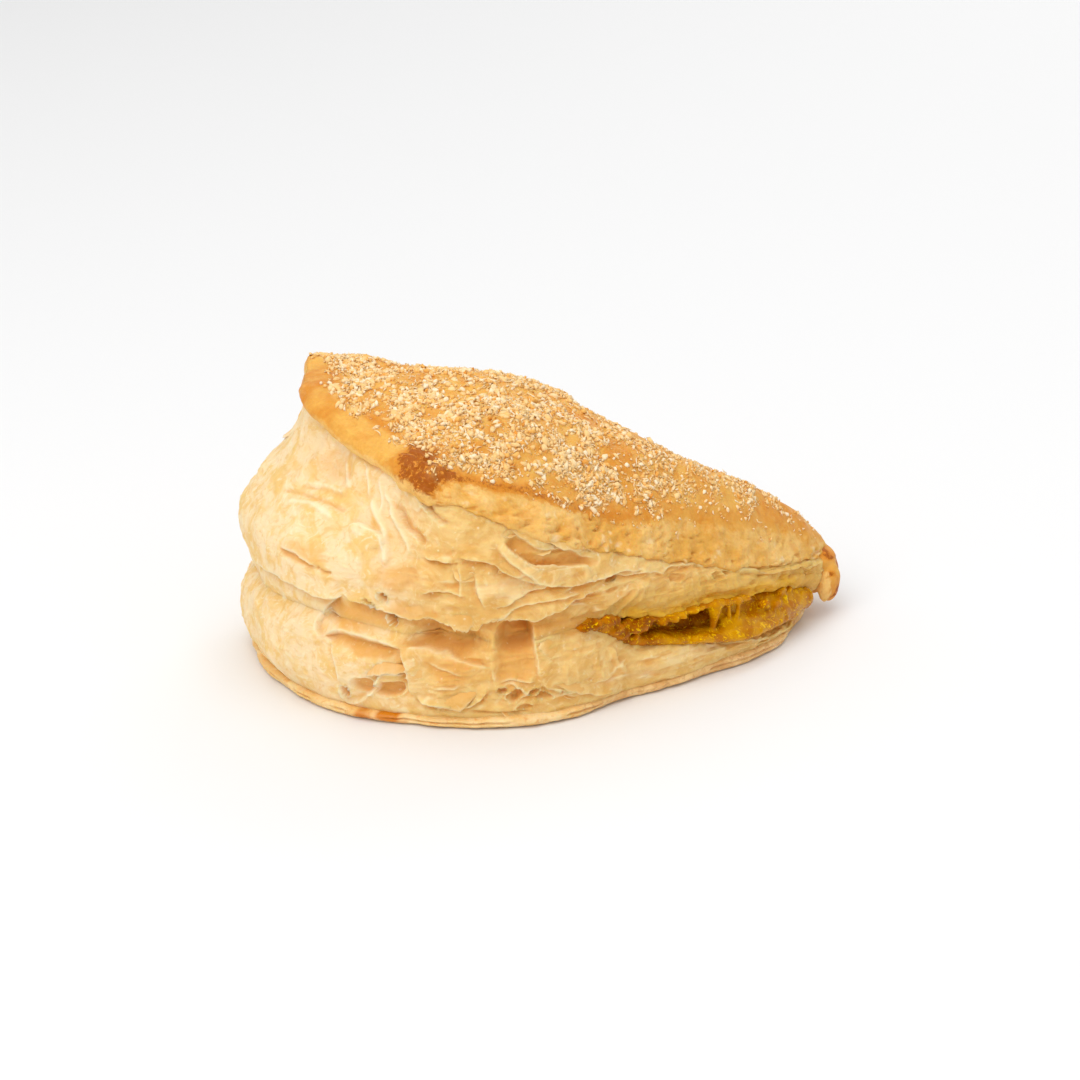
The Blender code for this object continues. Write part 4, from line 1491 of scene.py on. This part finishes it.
def makeJellyFinish():
    finish = Finish("apricotGel", {
        "Subsurface Weight": 0.35, "Subsurface Radius": (1.0, 0.8, 0.05),
        "Subsurface Scale": 2.0 * mm, "Roughness": 0.06, "IOR": 1.5,
        "Specular IOR Level": 0.4, "Specular Tint": (1.0, 0.7, 0.05)})
    big = finish.noise(4.0, 3.0, 0.5, 0.5)
    glintNoise = finish.noise(1.0, 4.0, 0.65, 1.2)
    bright = finish.mix(big.between(0.36, 0.62), (210, 146, 0), (184, 110, 0))
    dark = finish.mix(big.between(0.4, 0.6), (186, 108, 0), (146, 72, 0))
    # the darker amber is laid on the clumps and, as painted shade, deep in the hollow; bright
    # yellow spots on the fine noise are painted glints
    shade = finish.laid(bright, (finish.painted("deep").between(0.1, 0.9), dark),
                        (glintNoise.between(0.55, 0.64) * 0.8, (246, 200, 0)))
    finish.shade({"Base Color": shade})
    finish.bump(glintNoise, 0.25)
    return finish


crustFinish = makeCrustFinish()
layerFinish = makeLayerFinish("flakyLayers", 0.4)
baseFinish = makeBaseFinish()
jellyFinish = makeJellyFinish()


# Round pieces melted into one skin
def roundTemplate(level):
    shape = bmesh.new()
    bmesh.ops.create_icosphere(shape, subdivisions=level, radius=1.0)
    points = np.array([vert.co[:] for vert in shape.verts])
    faces = np.array([[vert.index for vert in face.verts] for face in shape.faces])
    shape.free()
    return points, faces


def melted(name, lumps, voxel, noise, seed):
    # lumps: rows of centre, half sizes and turn about up; returns one closed mesh and its points
    points, faces = roundTemplate(3)
    allPoints, allFaces = [], []
    for index, (centre, size, turned) in enumerate(lumps):
        angle = math.radians(turned)
        spin = np.array(((math.cos(angle), -math.sin(angle), 0.0),
                         (math.sin(angle), math.cos(angle), 0.0), (0.0, 0.0, 1.0)))
        allPoints.append((points * size) @ spin.T + centre)
        allFaces.append(faces + index * len(points))
    rough = makeMesh(name + "Rough", np.concatenate(allPoints), np.concatenate(allFaces))
    remesh = rough.modifiers.new("melt", "REMESH")
    remesh.mode = "VOXEL"
    remesh.voxel_size = voxel * mm
    relax = rough.modifiers.new("relax", "SMOOTH")
    relax.factor = 0.5
    relax.iterations = 3
    graph = bpy.context.evaluated_depsgraph_get()
    mesh = bpy.data.meshes.new_from_object(rough.evaluated_get(graph))
    bpy.data.objects.remove(rough)
    spots = readPoints(mesh).astype(float) / mm
    size, lift = noise
    moved = lift * fractal(spots, size, 3, seed)
    spots = spots + readPoints(mesh, "normal") * moved[:, None]
    mesh.vertices.foreach_set("co", (spots * mm).astype(np.float32).ravel())
    mesh.update()
    mesh.shade_smooth()
    obj = bpy.data.objects.new(name, mesh)
    bpy.context.scene.collection.objects.link(obj)
    return obj, spots


jelly = dict(
    voxel=0.4,
    clumps=46,                   # lumps of fruit at the left of the mouth
    clumpBetween=(291.0, 323.0),
    massBetween=(352.0, 373.5),  # the smooth mass beside the tip
    beads=16,
    seed=12,
)


def mouthSpot(direction, inset, level):
    # a place in the mouth: mm in from the foot's edge, and 0 to 1 from lower to upper lip
    radius = oneAround(direction, 1) - inset
    crease = oneAround(direction, 3)
    half = halfGap(direction)
    return (float(planX(direction, radius)), float(planY(direction, radius)),
            crease + half * (2.0 * level - 1.0))


def jellyLumps():
    rng = np.random.default_rng(jelly["seed"])
    lumps = []

    def lump(direction, inset, level, along, deep, tall):
        lumps.append((mouthSpot(direction, inset, level), (deep, along, tall), direction))

    for direction in np.arange(291.0, 370.0, 2.0):    # the bed on the lower lip, and the back
        share = float(mouthShare(direction))
        near = float(ramp(334.0, 352.0, direction))
        lump(direction, 6.0 - 2.2 * near, 0.04 + 0.14 * near, 2.8, 4.4, 1.2 * share + 0.3)
        lump(direction, 12.5, 0.4, 3.4, 4.0, 2.6 * share + 0.5)
        lump(direction, 16.0, 0.6, 3.6, 5.0, 3.4 * share + 0.6)
    for direction in np.arange(320.0, 356.0, 1.5):    # a film under the upper lip
        lump(direction, rng.uniform(4.0, 5.2), 1.0, 1.6, 2.6, rng.uniform(0.5, 0.9))
    for _ in range(jelly["clumps"]):
        direction = rng.uniform(*jelly["clumpBetween"])
        size = rng.uniform(0.6, 1.7)
        lump(direction, rng.uniform(1.8, 5.0), rng.uniform(0.1, 0.9), size * rng.uniform(0.8, 1.5),
             size, size * rng.uniform(0.6, 1.0))
    for direction, level, size in ((326.0, 0.86, 1.2), (330.0, 0.92, 1.3), (333.0, 0.95, 1.0)):
        lump(direction, 2.6, level, size, 1.6, 0.7 * size)
    for level, size in ((1.0, 2.0), (0.84, 1.7), (0.68, 1.35), (0.52, 1.05), (0.4, 0.8)):
        lump(344.4 + 1.6 * level, 2.6 + level * 0.6, level, size, size * 0.9, 1.1)
    for spot, lean in ((348.8, 0.9), (351.4, -0.5)):
        for level in (1.0, 0.88, 0.76, 0.64):
            lump(spot + lean * (1.0 - level), 2.6, level, 0.4 + 0.3 * level, 0.6, 0.9)
    for direction in np.arange(338.0, 360.0, 1.4):    # it flows over the lower lip here
        share = float(hill(349.0, 8.0, direction))
        lump(direction, 2.2 - 0.9 * share, 0.14 - 0.08 * share, 2.2, 2.4, 0.8 + 0.3 * share)
    for direction in np.arange(*jelly["massBetween"], 1.0):
        share = float(ramp(358.0, 370.0, direction))
        lump(direction, 4.2 - 2.6 * share, 0.36 + 0.08 * share, 2.8, 2.2, 1.7 + 0.7 * share)
        lump(direction, 6.4 - 2.4 * share, 0.46 + 0.1 * share, 3.2, 3.0, 1.8 + 0.8 * share)
        lump(direction, 9.0 - 4.0 * share, 0.74, 3.4, 3.2, 2.4)
    for _ in range(jelly["beads"]):
        direction = rng.uniform(358.0, 372.0)
        size = rng.uniform(0.6, 1.1)
        lump(direction, rng.uniform(1.2, 3.0), rng.uniform(0.55, 0.95), size * 1.5, size, size)
    return lumps


def makeFilling():
    obj, spots = melted("apricotJelly", jellyLumps(), jelly["voxel"], (1.3, 0.32), 91)
    direction = directionOf(spots)
    inset = around(direction, 1) - radiusOf(spots)
    turn = mouthAngle(direction)
    # a darker amber on the clumps at the left, and painted shade deep in the hollow, less of it by
    # the mass beside the tip
    clumps = 1.0 - ramp(318.0, 336.0, turn)
    inner = ramp(4.0, 8.5, inset) * (1.0 - 0.8 * ramp(356.0, 366.0, turn))
    deep = np.maximum(0.75 * clumps, inner) + 0.3 * fractal(spots, 2.0, 3, 92)
    paint(obj, "deep", np.clip(deep, 0.0, 1.0))
    return obj


def makeTip():
    lumps = [
        # centre, half sizes and turn: the knob, its back, the crust that runs into it
        ((65.4, 21.6, 8.4), (2.6, 2.7, 5.0), 0.0), ((65.0, 25.4, 9.0), (3.0, 4.0, 5.4), 0.0),
        ((62.4, 24.0, 13.4), (4.6, 4.8, 3.2), 10.0), ((60.6, 20.6, 13.2), (3.4, 2.6, 2.6), 10.0),
        ((64.2, 19.5, 7.6), (1.6, 1.5, 3.9), 0.0), ((61.8, 21.6, 9.6), (2.4, 2.2, 4.4), 0.0),
    ]
    obj, spots = melted("curledTip", lumps, 0.4, (2.6, 0.28), 95)
    lobe = np.sqrt((((spots - (64.0, 19.0, 7.6)) / (1.6, 1.7, 3.8)) ** 2).sum(-1))
    paint(obj, "pale", 0.75 * (1.0 - ramp(0.7, 1.5, lobe)))
    crack = np.abs(softNoise(spots, 3.0, 97))
    low = 1.0 - ramp(8.0, 12.0, spots[:, 2])
    paint(obj, "brown", 0.9 * ramp(0.3, 0.0, crack) + 0.3 * low + 0.2)
    return obj


# Toasted coconut
coconut = dict(
    chips=7000,
    shreds=4200,
    crumbs=12000,
    chipSize=(0.8, 2.2),         # mm
    shredLength=(1.1, 2.6),
    crumbSize=(0.25, 0.65),
    seed=33,
)


def crustSamples(crust, count, rng, spread):
    # places on the crust drawn by area and by how thickly the coconut lies there
    mesh = crust.data
    mesh.calc_loop_triangles()
    points = readPoints(mesh).astype(float) / mm
    corners = np.empty(len(mesh.loop_triangles) * 3, np.int32)
    mesh.loop_triangles.foreach_get("vertices", corners)
    corners = corners.reshape(-1, 3)
    first, second, third = (points[corners[:, i]] for i in range(3))
    cross = np.cross(second - first, third - first)
    area = np.linalg.norm(cross, axis=1)
    centre = (first + second + third) / 3.0
    chance = area * spread(centre)
    chosen = rng.choice(len(corners), count, p=chance / chance.sum())
    a, b = rng.random(count), rng.random(count)
    flip = a + b > 1.0
    a, b = np.where(flip, 1.0 - a, a), np.where(flip, 1.0 - b, b)
    spots = first[chosen] + a[:, None] * (second - first)[chosen]
    spots = spots + b[:, None] * (third - first)[chosen]
    return spots, cross[chosen] / np.maximum(area[chosen], 1e-9)[:, None]


def coconutSpread(spots):
    direction = directionOf(spots)
    share = radiusOf(spots) / around(direction, 2)
    angle = sideAngle(direction)
    front = ramp(240.0, 250.0, angle) * (1.0 - foldShare(direction))
    leftEdge = ramp(160.0, 172.0, angle) * (1.0 - ramp(236.0, 246.0, angle))
    edge = np.interp(angle, *np.array(goldenEdge).T)
    bareLine = 0.03 + 0.06 * (1.0 - ramp(262.0, 290.0, angle))
    limit = blend(blend(0.99, 0.915, leftEdge), edge - bareLine, front)
    limit = limit + 0.04 * softNoise(spots, 4.0, 201)
    inside = 1.0 - ramp(limit - 0.04 - 0.17 * front - 0.08 * leftEdge, limit + 0.01, share)
    above = spots[:, 2] - rimHeight(direction) + 3.0 * fractal(spots, 9.0, 3, 203)
    level = ramp(-6.0, 1.0, above)
    thick = blend(1.0, 0.36, ramp(-8.0, 40.0, spots[:, 0]))
    thick = thick * (1.0 - 0.45 * ramp(-38.0, -52.0, spots[:, 0]))
    patches = 0.08 + 0.95 * ramp(-0.3, 0.35, fractal(spots, 5.0, 4, 202))
    fromCorner = np.hypot(spots[:, 0] - planX(239.0, 36.5), spots[:, 1] - planY(239.0, 36.5))
    bare = 1.0 - 0.85 * np.exp(-(fromCorner / 5.5) ** 2)
    return inside * level * thick * patches * bare + 1e-6


def frames(normals, rng, lean):
    # a turned and leaning frame for every flake
    count = len(normals)
    tilted = normals + lean[:, None] * rng.normal(size=(count, 3))
    tilted /= np.linalg.norm(tilted, axis=1, keepdims=True)
    anyWay = rng.normal(size=(count, 3))
    along = np.cross(tilted, anyWay)
    along /= np.linalg.norm(along, axis=1, keepdims=True)
    across = np.cross(tilted, along)
    return along, across, tilted


def flakeMesh(name, spots, pose, local, faces, tone):
    # local: flake, point, axis
    along, across, up = pose
    world = (spots[:, None] + local[..., :1] * along[:, None] + local[..., 1:2] * across[:, None]
             + local[..., 2:] * up[:, None])
    count, each = local.shape[:2]
    allFaces = (faces[None] + (np.arange(count) * each)[:, None, None]).reshape(-1, faces.shape[1])
    obj = makeMesh(name, world.reshape(-1, 3), allFaces, smooth=False)
    paint(obj, "tone", np.repeat(tone, each))
    return obj


def makeChips(crust, rng):
    # bent flakes: a ring below, a ring above
    count, sides = coconut["chips"], 5
    spots, normals = crustSamples(crust, count, rng, coconutSpread)
    low, high = coconut["chipSize"]
    size = low + (high - low) * rng.random(count) ** 1.7
    size = size * blend(1.0, 0.75, ramp(0.0, 50.0, spots[:, 0]))
    angle = (np.arange(sides) + rng.uniform(-0.3, 0.3, (count, sides))) / sides * 2 * math.pi
    radius = size[:, None] * rng.uniform(0.55, 1.15, (count, sides)) * 0.5
    x = radius * np.cos(angle) * rng.uniform(1.0, 1.6, (count, 1))
    y = radius * np.sin(angle) * rng.uniform(0.55, 0.95, (count, 1))
    z = rng.uniform(-0.3, 0.2, (count, 1)) * x ** 2 / size[:, None]
    z = z + 0.05 * rng.normal(size=x.shape) * size[:, None]
    thick = rng.uniform(0.1, 0.3, (count, 1))
    lower = np.stack([x * 1.1, y * 1.1, z - thick - 0.22], -1)
    upper = np.stack([x * 0.66, y * 0.66, z + thick], -1)
    index = np.arange(sides)
    after = (index + 1) % sides
    fan = np.stack([np.zeros(sides - 2, int), index[1:-1], index[2:]], -1)
    faces = np.concatenate([
        np.stack([index, after, after + sides], -1),
        np.stack([index, after + sides, index + sides], -1),
        fan[:, ::-1], fan + sides])
    lift = 0.1 + rng.random(count) ** 2 * blend(0.45, 0.2, ramp(0.0, 40.0, spots[:, 0]))
    pose = frames(normals, rng, rng.uniform(0.05, 0.3, count))
    tone = np.clip(rng.normal(0.46, 0.24, count), 0.0, 1.0)
    return flakeMesh("coconutChips", spots + normals * lift[:, None], pose,
                     np.concatenate([lower, upper], 1), faces, tone)


def makeShreds(crust, rng):
    # curled strips of three-sided section
    count, steps, corners = coconut["shreds"], 4, 3
    spots, normals = crustSamples(crust, count, rng, coconutSpread)
    share = np.linspace(-0.5, 0.5, steps)
    length = rng.uniform(*coconut["shredLength"], count)[:, None] * 0.8
    x = length * share
    y = rng.uniform(-1.0, 1.0, (count, 1)) / length * x ** 2
    y = y + 0.08 * rng.normal(size=(count, steps))
    z = rng.uniform(-0.5, 0.8, (count, 1)) * x ** 2 / length
    z = z + 0.06 * rng.normal(size=(count, steps))
    width = rng.uniform(0.1, 0.24, (count, 1)) * (1.0 - 0.7 * (2 * np.abs(share)) ** 3)
    thick = rng.uniform(0.4, 0.8, (count, 1)) * width
    core = np.stack([x, y, z], -1)
    local = np.zeros((count, steps * corners, 3))
    for corner, (side, up) in enumerate(((-1.0, -0.5), (1.0, -0.5), (0.0, 1.0))):
        local[:, corner::corners] = core + np.stack([x * 0.0, side * width, up * thick], -1)
    faces = []
    for first in range(0, (steps - 1) * corners, corners):
        for corner in range(corners):
            a, b = first + corner, first + (corner + 1) % corners
            faces += [(a, b, b + corners), (a, b + corners, a + corners)]
    last = corners * (steps - 1)
    faces += [(0, 2, 1), (last, last + 1, last + 2)]
    lift = 0.05 + rng.random(count) ** 2 * 0.4
    pose = frames(normals, rng, rng.uniform(0.05, 0.25, count))
    tone = np.clip(rng.normal(0.38, 0.24, count), 0.0, 1.0)
    return flakeMesh("coconutShreds", spots + normals * lift[:, None], pose, local,
                     np.array(faces), tone)


def makeCrumbs(crust, rng):
    # four-sided specks
    count = coconut["crumbs"]
    spots, normals = crustSamples(crust, count, rng, coconutSpread)
    points = np.array(((1, 1, 1), (1, -1, -1), (-1, 1, -1), (-1, -1, 1)), float)
    faces = np.array(((0, 1, 2), (0, 3, 1), (0, 2, 3), (1, 3, 2)))
    size = rng.uniform(*coconut["crumbSize"], count)[:, None, None] * 0.6
    local = points * size * rng.uniform(0.5, 1.2, (count, 4, 1))
    local = local * rng.uniform(0.5, 1.2, (count, 1, 3))
    pose = frames(normals, rng, rng.uniform(0.2, 0.9, count))
    tone = np.clip(rng.normal(0.45, 0.22, count), 0.0, 1.0)
    lift = rng.uniform(0.0, 0.25, count)
    return flakeMesh("coconutCrumbs", spots + normals * lift[:, None], pose, local, faces, tone)


def makeCoconutFinish():
    finish = Finish("toastedCoconut", {
        "Specular IOR Level": 0.35, "Specular Tint": (1.0, 0.85, 0.6)})
    tone = finish.painted("tone")
    small = finish.noise(0.8, 3.0, 0.6)
    shade = finish.laid(
        finish.mix(tone.between(0.05, 0.45), (254, 236, 202), (250, 212, 148)),
        (tone.between(0.45, 0.8), (243, 184, 96)),
        (tone.between(0.75, 1.0), (228, 150, 56)),
        (small.between(0.45, 0.75) * 0.25, (246, 188, 96)))
    finish.shade({"Base Color": shade, "Roughness": 0.45 + small * 0.2})
    finish.bump(small, 0.12)
    return finish


attach(makeBaseCrust(), "pastry", baseFinish)
attach(makeLayers("lowerLayers", lowerProfile, 780, False), "pastry", layerFinish)
print("lower layers made")
attach(makeLayers("upperLayers", upperProfile, 780, True), "pastry", layerFinish)
print("upper layers made")
attach(makeTornSheets(), "pastry", makeLayerFinish("tornPastry", 0.0))
print("torn sheets made")
crust = attach(makeTopCrust(), "pastry", crustFinish)
attach(makeTip(), "pastry", crustFinish)
print("top crust made")
attach(makeFilling(), "apricot_filling", jellyFinish)
print("filling made")
coconutFinish = makeCoconutFinish()
rng = np.random.default_rng(coconut["seed"])
for makeFlakes in (makeChips, makeShreds, makeCrumbs):
    attach(makeFlakes(crust, rng), None, coconutFinish)
print("coconut scattered")


# Stage
studio = dict(                   # metres, watts and degrees
    floorTone=0.86,
    skyStrength=0.64,
    aim=(0, 0, 0.03),            # where the lamps point
    lamps=(
        # name, place, size, watts
        ("keyLight", (-0.36, -0.68, 0.85), 0.8, 5.8),
        ("topLight", (0.05, 0.0, 1.2), 0.9, 3.5),
        ("backLight", (0.4, 0.9, 0.6), 0.7, 1.8),
    ),
    lens=100.0,
    lookDown=22.0,
    distance=0.65,
    target=(-0.0011, -0.01205, 0.032),
)


def makeStage():
    bpy.ops.mesh.primitive_plane_add(size=8.0)
    floor = bpy.context.object
    floor.name = "floor"
    finish = Finish("paleFloor", {"Base Color": (studio["floorTone"],) * 3, "Roughness": 0.7})
    floor.data.materials.append(finish.material)
    world = bpy.data.worlds.new("studio")
    bpy.context.scene.world = world
    world.use_nodes = True
    sky = world.node_tree.nodes["Background"]
    sky.inputs["Color"].default_value = (1.0, 1.0, 1.0, 1.0)
    sky.inputs["Strength"].default_value = studio["skyStrength"]
    for name, spot, size, watts in studio["lamps"]:
        lamp = bpy.data.lights.new(name, "AREA")
        lamp.size = size
        lamp.energy = watts
        holder = bpy.data.objects.new(name, lamp)
        holder.location = spot
        toAim = Vector(studio["aim"]) - Vector(spot)
        holder.rotation_euler = toAim.to_track_quat("-Z", "Y").to_euler()
        bpy.context.scene.collection.objects.link(holder)


def makeCamera():
    lens = bpy.data.cameras.new("camera")
    lens.lens = studio["lens"]
    lens.sensor_width = 36.0
    lens.clip_start = 0.01
    camera = bpy.data.objects.new("camera", lens)
    tilt = math.radians(studio["lookDown"])
    back = Vector((0.0, -math.cos(tilt), math.sin(tilt)))
    camera.location = Vector(studio["target"]) + studio["distance"] * back
    camera.rotation_euler = (math.radians(90.0) - tilt, 0.0, 0.0)
    bpy.context.scene.collection.objects.link(camera)
    bpy.context.scene.camera = camera


makeStage()
makeCamera()
bpy.context.scene.view_settings.view_transform = "Standard"
print("stage set")
